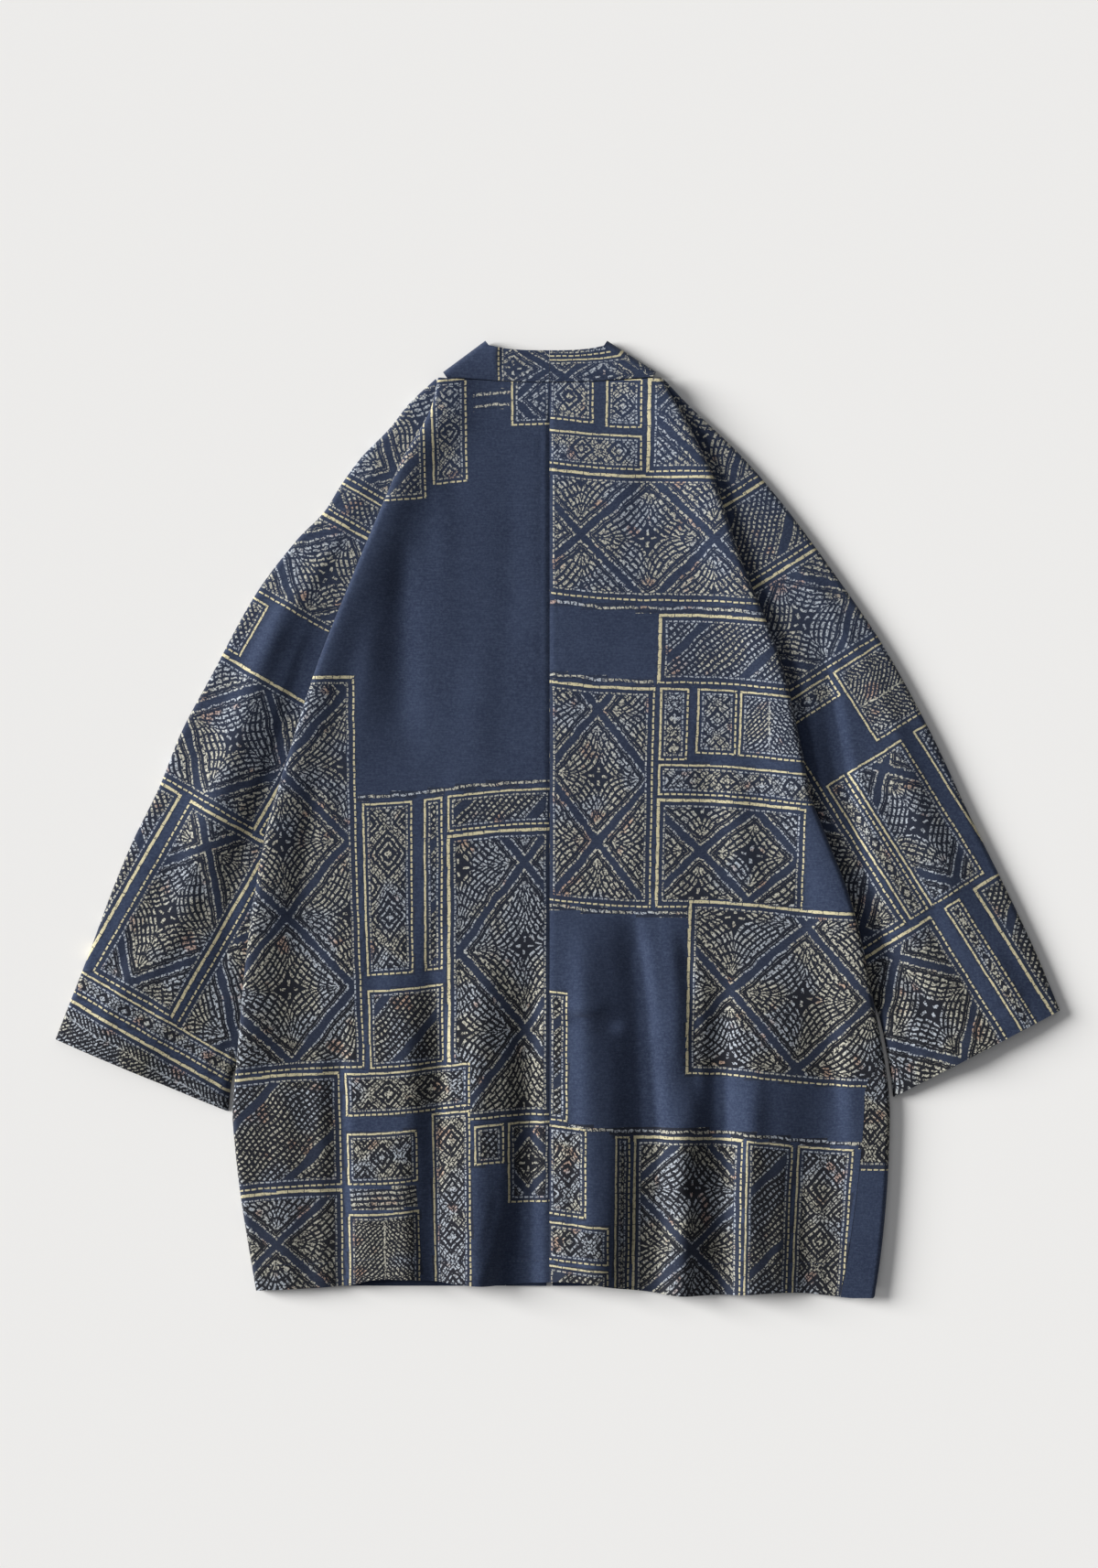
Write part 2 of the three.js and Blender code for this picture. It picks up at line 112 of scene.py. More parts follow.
# Where creases begin and over what length they grow, in from each edge, in millimetres
FROM_FOLD = (8, 34)
FROM_NECK = (4, 30)
FROM_SLEEVE_SEAM = (4, 20)
FROM_SLEEVE_FOLD = (10, 18)

# Ripples of the cloth: height, how many times finer than the plain one, and seed
BACK_RIPPLES = ((0.5, 1.0, 1.0), (0.2, 2.3, 2.0))
SLEEVE_RIPPLES = ((0.45, 1.0, 3.0), (0.14, 2.2, 4.0))

# Seams and hems, in millimetres: place, half width and depth of each groove, and how far a hem stands up
CENTRE_SEAM = (0.0, 2.4, 1.2)
BESIDE_SEAM = (7.0, 3.0, 0.0)
PUCKER = 0.5
NECK_SEAM = (0.0, 3.0, 1.0)
HEM_TURN = 29
HEM_TURN_RISE = 0.35
HEM_GROOVE = (3.0, 2.2, 0.55)
CUFF_TURN = 24
CUFF_TURN_RISE = 0.3
CUFF_GROOVE = (-2.0, 2.2, 0.5)
TURN_STEP = 3.0

# The hem's row of stitches, in millimetres: height above the hem, step of the mesh that it follows, lift
# off the cloth, how far it stays from the seam and from the fold, and what height only the back reaches
STITCHES_UP = 24
STITCH_ROW_STEP = 3.0
STITCH_LIFT = 0.05
CLEAR_OF_SEAM = 3
CLEAR_OF_FOLD = 2
UPPER_FROM = 6

# Where the right front comes round: how much its gap widens, how soon it does, how soon its columns
# spread, and from which height and over how much of it its hem goes over to the one that shows
WRAP_GAP = 3
WRAP_SOON = 10
SPREAD_SOON = 3
SHOWN_HEIGHTS = (3, 6)

# A crease wanders from its line by this much, in millimetres, this often, and widens along it
CREASE_WANDER = 1.2
CREASE_WAVES = 9
CREASE_WIDTHS = (0.75, 1.25)

# Collar: height and length of its ripple, the groove at its seam across its width, and how far the
# print runs on before the turn
COLLAR_RIPPLE = (0.25, 7.0)
COLLAR_SEAM = (0.0, 0.09, 0.8)
COLLAR_TURN_FROM = 2

# How far the back covers a sleeve beyond its seam, in millimetres
SLEEVE_COVERED = 3

# Angle from which the edges of a mesh are sharp
SHARP_FROM = math.radians(48)

# A stitch of the hem, in metres
STITCH_PITCH = 0.0034
STITCH_LENGTH = 0.0024
STITCH_THREAD = 0.0005

# Folds of the back: crest at the hem, halfway and at its top, the top's y, height, reach left and right
BACK_FOLDS = (
    (-224, -229, -233, -40, 2.4, 14, 16),
    (-128, -136, -131, 30, 6.2, 34, 15),
    (-66, -44, -76, -50, 8.8, 30, 13),
    (36, 41, 16, -40, 8.2, 30, 15),
    (104, 107, 80, 60, 7.4, 24, 14),
    (176, 178, 186, -20, 6.0, 32, 30),
)

# The hem seen from above: x, y
HEM = ((-250, -390.5), (-173, -386), (-150, -381), (-112, -381.5), (-59, -386), (17, -383), (55, -389),
       (112, -394.5), (190, -392), (245, -396.5))

# The left front's band: x and y of its seam, x and y of its free edge
FRONT_BAND = (
    (-92, 366, -57, 380), (-79, 318, -46, 332), (-60.5, 240, -27, 248), (-47, 165, -12.5, 170),
    (-42.5, 110, -8.5, 112), (-42.5, -20, -8.5, -20), (-42.5, -200, -8.5, -200), (-42.5, HEM_Y, -8.5, HEM_Y),
)

# Each side. Edge: y, x of the fold, x of the seam under it. Outline: y, x of the sleeve's outer fold.
# Sleeve folds: place at the shoulder and at the cuff, start, height, reach outward and inward, as shares.
LEFT = {
    "word": "left",
    "sign": -1,
    "edge": (
        (366, -98.5, -92), (337, -106, -98), (301, -127, -117), (265, -143, -131.5), (198, -171, -158),
        (130, -198, -184), (62, -220, -205), (-10, -241, -226), (-94, -255, -241), (-150, -261, -249),
        (-190, -264.5, -255), (-240, -269, -263), (-262, -268, -262.5), (-315, -262, -256.5),
        (-391, -249.5, -244),
    ),
    "outline": (
        (366, -100.5), (346, -122), (324, -139.5), (301, -162), (278, -179), (255, -193.5), (232, -216),
        (187, -250), (119, -287), (73, -311.5), (27, -330), (-18, -352), (-64, -371), (-109, -387.5),
        (-182, -416),
    ),
    "sleeve_top": 352, "cuff": -242, "underarm": -150, "close_from": -186, "closed": -226,
    "seam_rises": False, "tip": (-59.5, 397.5), "shoulder": (-94.5, 371.5),
    "sleeve_folds": ((0.66, 0.42, 0.2, 5.2, 0.2, 0.16), (0.3, 0.2, 0.55, 2, 0.12, 0.12)),
}
RIGHT = {
    "word": "right",
    "sign": 1,
    "edge": (
        (366, 86.5, 80), (346, 98, 90.5), (320, 113, 104), (286, 129, 119), (248, 142, 131), (210, 155, 143),
        (134, 185, 172), (58, 203, 189), (20, 210.5, 196.5), (-18, 225, 211), (-56, 240, 226.5),
        (-94, 251, 238), (-150, 262.5, 252), (-190, 270.5, 263.5), (-231, 276, 270.5), (-269, 276, 270.5),
        (-315, 273.5, 268), (-360, 269, 263.5), (-395, 263.5, 258),
    ),
    "outline": (
        (366, 88.5), (346, 107.5), (301, 154), (255, 193), (187, 242.5), (141, 273), (73, 310), (5, 342),
        (-64, 376), (-109, 397), (-158, 417.5),
    ),
    "sleeve_top": 352, "cuff": -230, "underarm": -104, "close_from": -134, "closed": -172,
    "seam_rises": True, "tip": (42, 397.5), "shoulder": (82.5, 371.5),
    "sleeve_folds": ((0.7, 0.62, 0.3, 4.2, 0.2, 0.1), (0.35, 0.3, 0.45, 2.6, 0.16, 0.16)),
}
SIDES = (LEFT, RIGHT)

# Creases that the large folds don't hold: x, y where each starts and ends, bow to its left, half width,
# height, which is less than nothing in a trough, and the share of its length over which it fades. A ninth
# number leans it: below 1 it spreads further on its left, and above 1 further on its right.
BACK_CREASES = (
    (-18, -80, -24, -520, 2, 14, -6.5, 0.2, 0.5),
    (-62, -90, -62, -520, 5, 15, 4.2, 0.22),
    (-94, -130, -98, -520, 2, 10, -5.0, 0.2, 0.5),
    (-122, -120, -120, -520, -3, 12, 3.6, 0.22),
    (-178, -140, -172, -520, 2, 11, -4.2, 0.2, 0.5),
    (-200, -170, -196, -520, -4, 10, 2.8, 0.22),
    (58, -58, 66, -500, -20, 13, -8.4, 0.14, 0.62),
    (22, -70, 34, -520, 2, 14, 5.2, 0.2, 1.2),
    (140, -110, 134, -500, 0, 14, -7.4, 0.2, 0.62),
    (134, -280, 30, -384, -6, 9, -3.2, 0.3),
    (100, -230, 100, -520, -4, 10, 4.6, 0.22),
    (164, -180, 160, -520, 4, 13, 5.4, 0.22),
    (222, -100, 244, -520, -4, 22, -6.4, 0.2, 0.6),
    (240, -160, 246, -520, -3, 9, 2.4, 0.22),
    (8, -200, 12, -520, 3, 7, 2.6, 0.22),
    (-128, 262, -122, 30, 4, 13, -3.4, 0.35),
    (-160, 215, -172, 20, -6, 14, 2.8, 0.4),
    (-96, 300, -88, 120, 3, 11, 0.9, 0.4),
    (-58, 180, -64, -20, 5, 16, 1.3, 0.45),
    (-34, 320, -40, 60, 2, 12, -0.9, 0.4),
    (-196, 60, -214, -120, 5, 10, -2.4, 0.4),
    (-210, 110, -188, -40, -4, 9, 1.1, 0.4),
    (-176, -30, -186, -240, 4, 12, 1.2, 0.4),
    (-150, -60, -158, -210, -3, 9, -1.1, 0.4),
    (-100, -60, -96, -230, 4, 9, -2.6, 0.35),
    (-84, 60, -92, -60, -3, 10, 1.0, 0.4),
    (-240, -150, -236, -330, 3, 7, -1.2, 0.35),
    (-204, -230, -198, -385, -3, 8, -1.0, 0.3),
    (-158, -300, -152, -388, 2, 7, 1.1, 0.3),
    (-30, -120, -26, -385, -4, 8, -1.5, 0.3),
    (-46, -300, -60, -380, 2, 5, -1.0, 0.3),
    (-118, -250, -112, -385, 2, 6, -1.3, 0.3),
    (-226, 20, -180, 46, 4, 7, -0.9, 0.4),
    (-136, 330, -60, 348, -5, 9, 0.7, 0.4),
    (-112, 340, -70, 250, 4, 8, -0.8, 0.4),
    (110, -84, 116, -250, 2, 9, -4.6, 0.3, 0.6),
    (4, -162, 58, -170, 2, 5.5, -4.2, 0.3),
    (6, -151, 46, -156, 2, 7, 2.0, 0.4),
    (92, -70, 100, -230, -3, 8, 2.2, 0.3),
    (74, 40, 60, -100, 6, 12, 1.2, 0.4),
    (30, 120, 24, -60, -5, 14, -1.1, 0.4),
    (112, 130, 128, -60, -6, 12, -1.3, 0.4),
    (146, 70, 168, -90, 6, 13, 2.6, 0.4),
    (192, 30, 214, -110, -5, 11, -2.8, 0.4),
    (214, -30, 232, -170, 4, 9, 1.3, 0.4),
    (92, 330, 64, 210, 5, 11, -0.9, 0.4),
    (60, 350, 34, 180, -4, 12, 0.9, 0.4),
    (128, 250, 92, 190, 5, 10, 1.0, 0.4),
    (140, 180, 60, 150, 6, 9, -0.8, 0.4),
    (136, -120, 146, -330, 4, 11, -1.5, 0.35),
    (204, -250, 200, -500, -2, 15, -4.6, 0.25, 0.65),
    (236, -210, 238, -392, 3, 9, 1.5, 0.3),
    (72, -240, 66, -390, 3, 8, -1.4, 0.3),
    (16, -210, 20, -388, -3, 7, 1.0, 0.3),
    (122, -280, 128, -392, 2, 6, 1.0, 0.3),
    (154, -330, 160, -394, -2, 5, -0.9, 0.3),
    (188, -310, 186, -394, 2, 6, 0.9, 0.3),
)
# Creases of a sleeve in its own frame: along it from the shoulder and in from its outer fold
SLEEVE_CREASES = {
    "left": (
        (190, -24, 480, 26, -3, 14, 5.6, 0.25), (200, 12, 520, 94, -4, 13, -5.4, 0.25),
        (60, 20, 250, 12, 6, 12, -2.3, 0.4), (120, -6, 330, -14, -5, 10, 2.0, 0.4),
        (250, 62, 420, 74, 5, 11, -3.1, 0.4), (300, 30, 470, 40, -6, 13, 2.5, 0.4),
        (360, 84, 560, 100, 6, 10, -2.9, 0.35), (400, 8, 600, 16, -5, 11, -2.2, 0.35),
        (470, 54, 612, 62, 4, 9, -2.2, 0.3), (500, 118, 606, 124, -4, 8, 2.2, 0.3),
        (340, 40, 400, 90, 8, 7, 1.6, 0.4), (440, 20, 500, 66, -6, 7, -1.6, 0.4),
        (200, 40, 262, 60, 4, 8, 1.6, 0.4), (540, 26, 620, 34, 3, 8, 1.8, 0.3),
        (90, 34, 150, 44, 3, 7, -1.6, 0.4), (560, 136, 612, 140, 2, 6, -1.4, 0.3),
    ),
    "right": (
        (230, -2, 640, 154, 0, 13, -5.4, 0.2, 1.9), (260, -34, 560, 52, 0, 14, 2.6, 0.3),
        (70, 10, 230, 20, -6, 11, -2.2, 0.4), (150, -10, 340, -16, 5, 10, 2.2, 0.4),
        (260, 40, 430, 60, -5, 12, -3.1, 0.4), (310, 16, 500, 22, 6, 12, 2.5, 0.4),
        (380, 78, 560, 96, -6, 10, -2.7, 0.35), (420, -4, 600, 4, 5, 11, -2.2, 0.35),
        (470, 44, 608, 56, -4, 10, -2.0, 0.3), (500, 104, 604, 118, 4, 9, 2.3, 0.3),
        (350, 60, 410, 20, -7, 7, 1.6, 0.4), (450, 62, 520, 30, 6, 7, -1.6, 0.4),
        (190, 44, 250, 60, -4, 8, 1.6, 0.4), (540, 20, 612, 24, -3, 8, 1.6, 0.3),
        (90, 30, 150, 42, 3, 7, -1.6, 0.4), (562, 84, 608, 88, 2, 6, -1.4, 0.3),
    ),
}

# Kinds of print. Each block of it is one of these; between blocks the cloth is plain.
PLAIN, STAR, DOTS, CHAIN, RAYS, ROWS = range(6)

# Slope of the print's rows and lean of its upright lines on each back, which didn't lie square
GRAIN = {"left": (0.075, -0.03), "right": (-0.06, 0.045)}
GRAIN_Y = -100
GRAIN_WIDTH = 220
GRAIN_DRIFT = 2.2
GRAIN_WAVE = 1.6

# A block larger than this, in square millimetres, has the heavy line round it, and others the light one
LARGE_BLOCK = 9000
HEAVY_LINE = 1.2
LIGHT_LINE = 0.8
FAR_FROM_EDGE = 1000.0

# Blocks of the print, in millimetres: kind, left, right, bottom, top, centre of a motif, its width and height
BACK_BLOCKS = {
    "left": (
        (DOTS, -160, -102, 274, 372, -120, 320, 17, 17),
        (CHAIN, -99, -70, 284, 372, -84.5, 327, 29, 33),
        (ROWS, -66, -38, 343, 348, -52, 345.5, 12, 5),
        (ROWS, -66, -38, 353, 358, -52, 355.5, 12, 5),
        (STAR, -38, -3, 326, 372, -4, 349, 64, 60),
        (ROWS, -161, -3, 29, 34, -80, 31.5, 12, 5),
        (STAR, -300, -161, -194, 133, -225, -126, 114, 122),
        (CHAIN, -158, -117, -118, 27, -137, -17, 41, 52),
        (DOTS, -110, -93, -118, 27, -103, -40, 18, 18),
        (DOTS, -158, -93, -195, -128, -126, -150, 22, 22),
        (DOTS, -91, -3, -5, 27, -48, 11, 26, 26),
        (STAR, -91, -3, -246, -6, -27, -104, 108, 138),
        (DOTS, -300, -184, -291, -195, -240, -250, 34, 34),
        (STAR, -300, -184, -404, -292, -188, -337, 100, 96),
        (CHAIN, -181, -71, -234, -196, -142, -215, 37, 34),
        (CHAIN, -106, -71, -404, -235, -88.5, -260, 34, 40),
        (CHAIN, -181, -117, -291, -246, -149, -268, 32, 36),
        (ROWS, -178, -120, -311, -293, -148, -302, 12, 4.5),
        (RAYS, -181, -117, -404, -313, -149, -345, 62, 44),
        (DOTS, -70, -43, -284, -249, -56, -266, 22, 22),
        (STAR, -42, -3, -318, -249, -24, -284, 44, 52),
    ),
    "right": (
        (CHAIN, -9, 30, 331, 372, 10, 352, 30, 34),
        (CHAIN, 37, 66, 329, 372, 51, 348, 28, 30),
        (CHAIN, -9, 66, 294, 325, 20, 310, 28, 31),
        (STAR, 68, 260, 293, 372, 120, 344, 101, 105),
        (STAR, -9, 260, 186, 292, 70, 239, 101, 105),
        (ROWS, -9, 260, 178, 184, 30, 181, 12, 6),
        (ROWS, -9, 76, 118, 123, 30, 120.5, 12, 5),
        (DOTS, 79, 260, 118, 177, 130, 148, 26, 26),
        (STAR, -9, 79, -68, 116, 34, 40, 88, 110),
        (CHAIN, 81, 105, 54, 116, 93, 90, 24, 25),
        (CHAIN, 109, 142, 60, 116, 125.5, 90, 28, 28),
        (RAYS, 142, 260, 60, 116, 168, 70, 54, 60),
        (CHAIN, 81, 260, 25, 53, 110, 39, 26, 28),
        (STAR, 81, 201, -68, 24, 157, -20, 80, 78),
        (ROWS, -9, 110, -74, -69, 40, -71.5, 12, 5),
        (DOTS, -9, 10, -250, -141, 2, -190, 18, 18),
        (STAR, 109, 300, -206, -60, 204, -134, 114, 120),
        (ROWS, 10, 300, -255, -250, 60, -252.5, 12, 5),
        (CHAIN, -9, 26, -328, -252, 9, -290, 30, 38),
        (CHAIN, -9, 45, -366, -332, 12, -349, 31, 34),
        (DOTS, -9, 45, -404, -368, 20, -380, 16, 16),
        (CHAIN, 48, 63, -404, -256, 55, -300, 15, 22),
        (STAR, 64, 163, -404, -256, 117, -300, 108, 100),
        (DOTS, 164, 206, -404, -256, 184, -320, 26, 26),
        (CHAIN, 208, 254, -404, -256, 231, -290, 38, 45),
    ),
}
# The same on a sleeve, along it from the shoulder and in from its outer fold
SLEEVE_BLOCKS = {
    "left": (
        (STAR, -60, 110, -70, 160, 40, 10, 92, 96),
        (DOTS, 112, 140, -70, 160, 126, 10, 24, 24),
        (STAR, 142, 228, -70, 160, 186, 4, 92, 104),
        (DOTS, 231, 282, -70, -24, 256, -40, 24, 24),
        (STAR, 285, 401, -70, 58, 344, 6, 108, 100),
        (DOTS, 285, 401, 60, 220, 342, 90, 26, 26),
        (DOTS, 403, 569, -70, -9, 470, -36, 24, 24),
        (STAR, 403, 569, -2, 76, 496, 30, 130, 112),
        (STAR, 403, 580, 80, 220, 500, 132, 118, 112),
        (CHAIN, 571, 592, -70, 220, 583, 60, 21, 21),
        (RAYS, 596, 660, -70, 220, 612, 60, 46, 46),
    ),
    "right": (
        (STAR, -60, 112, -70, 160, 60, 0, 92, 96),
        (DOTS, 115, 183, -70, 160, 150, 4, 26, 26),
        (STAR, 185, 277, -70, 160, 232, 10, 100, 104),
        (CHAIN, 280, 302, 14, 160, 290, 40, 22, 26),
        (RAYS, 280, 350, -70, 12, 318, -22, 46, 46),
        (STAR, 305, 490, 69, 220, 420, 104, 112, 104),
        (DOTS, 357, 490, -70, -18, 424, -36, 24, 24),
        (STAR, 357, 490, -8, 46, 426, 18, 112, 104),
        (CHAIN, 357, 490, 47, 67, 420, 57, 24, 20),
        (DOTS, 494, 660, -70, 9, 552, -20, 24, 24),
        (CHAIN, 494, 660, 21, 38, 552, 29.5, 26, 17),
        (STAR, 494, 660, 49, 220, 560, 92, 104, 98),
    ),
}
# The same on the collar, along it from the centre back and up from its seam
COLLAR_BLOCKS = {
    "left": ((STAR, -20, 44, -8, 60, 30, 14, 62, 50),),
    "right": ((STAR, -20, 110, -8, 25, 44, 4, 62, 56), (DOTS, -20, 62, 26, 60, 20, 30, 20, 20)),
}
# The front's print: out from the side edge of what lies flat, and y
FRONT_BLOCKS = {
    "left": (
        (STAR, -190, -60, -404, -180, -110, -290, 112, 120),
        (CHAIN, -58, 0, -404, 60, -29, -150, 44, 46),
        (DOTS, -190, -60, -178, 60, -110, -60, 26, 26),
    ),
    "right": (
        (STAR, -220, -60, -404, -180, -130, -290, 112, 120),
        (CHAIN, 0, 90, -292, -120, 26, -210, 34, 44),
        (DOTS, -220, -60, -178, 60, -110, -60, 26, 26),
    ),
}


def smooth(t):
    """Runs from 0 to 1 with level ends."""
    t = np.clip(t, 0.0, 1.0)
    return t * t * (3 - 2 * t)


def mix(a, b, t):
    return a + (b - a) * t


def hump(past, before, after):
    """A soft hump, 1 at its crest, which spreads by different amounts before and after it."""
    past = np.asarray(past, float)
    away = past / np.where(past < 0, before, after)
    return np.exp(-away * away)


def read(table, column, at, key=0):
    """A column of a table at a key, on a smooth curve through its rows."""
    rows = sorted(table, key=lambda row: row[key])
    keys = np.array([row[key] for row in rows], float)
    values = np.array([row[column] for row in rows], float)
    place = np.arange(len(rows))
    before = np.maximum(place - 1, 0)
    after = np.minimum(place + 1, len(rows) - 1)
    slopes = (values[after] - values[before]) / (keys[after] - keys[before])
    at = np.clip(at, keys[0], keys[-1])
    i = np.clip(np.searchsorted(keys, at, side="right") - 1, 0, len(rows) - 2)
    span = keys[i + 1] - keys[i]
    t = (at - keys[i]) / span
    straight = mix(values[i], values[i + 1], smooth(t))
    return straight + t * (1 - t) * span * ((1 - t) * slopes[i] - t * slopes[i + 1])


def ripple(x, y, seed):
    """A fixed, uneven ripple between about -1 and 1, made of a few sines."""
    total = np.zeros(np.broadcast(x, y).shape)
    for k in range(1, 6):
        turn = 1.7 * seed + 2.4 * k
        total += np.sin((x * math.cos(turn) + y * math.sin(turn)) / (9.0 + 11.0 * k) + 3.1 * k * seed)
    return total / 3.2


def creased(x, y, creases):
    """Height that a table of creases adds at each point."""
    height = np.zeros(np.shape(x))
    for x0, y0, x1, y1, bow, half_width, rise, fade, *leaning in creases:
        lean = leaning[0] if leaning else 1.0
        length = math.hypot(x1 - x0, y1 - y0)
        along = ((x - x0) * (x1 - x0) + (y - y0) * (y1 - y0)) / length**2
        off = ((x - x0) * (y1 - y0) - (y - y0) * (x1 - x0)) / length
        off = off - bow * 4 * along * (1 - along) + CREASE_WANDER * np.sin(along * CREASE_WAVES + x0)
        ends = smooth(along / fade) * smooth((1 - along) / fade)
        widening = mix(*CREASE_WIDTHS, np.clip(along, 0, 1))
        spread = half_width * widening * np.where(off > 0, 1 / lean, lean)
        height += rise * ends * np.exp(-((off / spread) ** 2))
    return height


def back_height(x, y):
    """Height of the back between its edges."""
    height = np.full(np.shape(x), float(BACK_LEVEL))
    for hem_x, middle_x, top_x, top_y, rise, left, right in BACK_FOLDS:
        t = np.clip((y - HEM_Y) / (top_y - HEM_Y), 0, 1)
        control = 2 * middle_x - (hem_x + top_x) / 2
        crest = mix(mix(hem_x, control, t), mix(control, top_x, t), t)
        height = height + rise * (1 - smooth(t)) * hump(x - crest, left, right)
    return height


def side_at(side, y):
    """How the body runs round one side at a height y."""
    sign = side["sign"]
    fold = sign * (read(side["edge"], 1, y) - CENTRE_BACK) - SOLID_CLOTH / 2
    seam = sign * (read(side["edge"], 2, y) - CENTRE_BACK)
    closing = smooth((side["close_from"] - y) / (side["close_from"] - side["closed"]))
    bottom = mix(TUCK_LEVEL, CLOSED_LEVEL, closing)
    roll = mix(ROLL, NECK_ROLL, smooth((y - NECK_ROLL_END_Y) / (NECK_Y - NECK_ROLL_END_Y)))
    joined = smooth((side["underarm"] - y) / JOINING)
    drop = mix(DROP, bottom - LYING, joined)
    turn = fold - roll
    foot = min(seam + SOLID_CLOTH / 2, turn - 0.5)
    lengths = (turn, math.pi * roll, turn - foot, drop)
    return {"y": y, "turn": turn, "roll": roll, "joined": joined, "closing": closing, "bottom": bottom,
            "foot": foot, "lengths": lengths, "crest": bottom + 2 * roll}


def on_side(side, section, distance):
    """Points of a body section at distances along it from the centre back."""
    sign, y, turn = side["sign"], section["y"], section["turn"]
    roll, bottom, foot = section["roll"], section["bottom"], section["foot"]
    first, second, third, _ = section["lengths"]
    distance = np.asarray(distance, float)
    x = CENTRE_BACK + sign * distance
    edge = np.array([CENTRE_BACK + sign * turn])
    swell = (section["crest"] - back_height(edge, y)) * hump(turn - distance, SWELL, SWELL)
    flat_z = back_height(x, y) + swell
    angle = np.clip((distance - first) / roll, 0, math.pi)
    under = np.clip(distance - first - second, 0, third)
    down = np.clip(distance - first - second - third, 0, None)
    out = np.where(distance <= first, distance, turn + roll * np.sin(angle) - under)
    out = np.where(down > 0, foot, out)
    rolled_z = bottom + roll + roll * np.cos(angle)
    z = np.where(distance <= first, flat_z, np.where(distance <= first + second, rolled_z, bottom - down))
    return np.stack([CENTRE_BACK + sign * out, np.full(out.shape, float(y)), z], axis=-1)


def seam_rise(side, y):
    if not side["seam_rises"]:
        return 0.0
    return float(smooth((side["closed"] - y) / (side["closed"] - side["cuff"])))


def back_end(side, section):
    """Where the back ends on its section. It stops short of the edge where the front comes round."""
    y = section["y"]
    strip = mix(STRIP_AT_HEM, STRIP_AT_UNDERARM, (y - HEM_Y) / (side["underarm"] - HEM_Y))
    return mix(sum(section["lengths"]), section["lengths"][0] - (strip - section["roll"]), seam_rise(side, y))


def hem_shift(hem_y, y):
    fade = (HEM_FADE_Y - y) / (HEM_FADE_Y - HEM_Y)
    return np.where(fade > 0, (hem_y - HEM_Y) * fade * fade, 0.0)


def grained(word, x, y):
    """Where a point of the back lies in the print, whose rows and lines lean a little."""
    slope, lean = GRAIN[word]
    away = smooth(np.abs(x - CENTRE_BACK) / GRAIN_WIDTH)
    drift = GRAIN_DRIFT * away * np.sin(x / 37.0 + y / 91.0)
    wave = GRAIN_WAVE * np.sin(x / 29.0)
    return x - lean * away * (y - GRAIN_Y) + drift, y - slope * (x - CENTRE_BACK) + wave


# Cloth as meshes

def shell(name, grid, thickness, materials, placed, blocks, turned_over=False):
    """A closed shell of cloth round a grid of middle points in millimetres. placed holds where each
    point lies in the print, and blocks the print's blocks there."""
    if turned_over:
        grid, placed = grid[:, ::-1], placed[:, ::-1]
    rows, columns = grid.shape[:2]
    across = np.gradient(grid, axis=1)
    along = np.gradient(grid, axis=0)
    normal = np.cross(across, along)
    normal /= np.linalg.norm(normal, axis=-1, keepdims=True) + 1e-12
    points = np.concatenate([(grid + s * thickness * normal).reshape(-1, 3) for s in (0.5, -0.5)])
    index = np.arange(rows * columns).reshape(rows, columns)
    a, b, c, d = index[:-1, :-1], index[:-1, 1:], index[1:, 1:], index[1:, :-1]
    outer = np.stack([a, b, c, d], axis=-1).reshape(-1, 4)
    inner = outer[:, ::-1] + rows * columns
    border = np.concatenate([index[0, :], index[1:, -1], index[-1, -2::-1], index[-2:0:-1, 0]])
    after = np.roll(border, -1)
    rim = np.stack([after, border, border + rows * columns, after + rows * columns], axis=-1)
    faces = np.concatenate([outer, inner, rim])
    corners = points[faces]
    volume = np.einsum("ij,ij->i", corners[:, 0], np.cross(corners[:, 1], corners[:, 2])).sum()
    volume += np.einsum("ij,ij->i", corners[:, 0], np.cross(corners[:, 2], corners[:, 3])).sum()
    if volume < 0:
        faces = faces[:, ::-1]
    mesh = bpy.data.meshes.new(name)
    mesh.vertices.add(len(points))
    mesh.vertices.foreach_set("co", (points * MM).ravel())
    mesh.loops.add(faces.size)
    mesh.loops.foreach_set("vertex_index", faces.ravel())
    mesh.polygons.add(len(faces))
    mesh.polygons.foreach_set("loop_start", np.arange(len(faces)) * 4)
    mesh.update(calc_edges=True)
    for material in materials:
        mesh.materials.append(material)
    reverse = len(materials) - 1
    printed = printing(placed.reshape(-1, 2), faces, outer.shape[0], rows * columns, blocks, reverse)
    mesh.polygons.foreach_set("material_index", printed["kind"])
    for key in ("motif", "block", "extent"):
        layer = mesh.attributes.new(key, "FLOAT_VECTOR", "CORNER")
        layer.data.foreach_set("vector", printed[key].ravel())
    mesh.polygons.foreach_set("use_smooth", np.ones(len(faces), bool))
    mesh.set_sharp_from_angle(angle=SHARP_FROM)
    mesh.validate()
    mesh.update()
    piece = bpy.data.objects.new(name, mesh)
    bpy.context.scene.collection.objects.link(piece)
    return piece


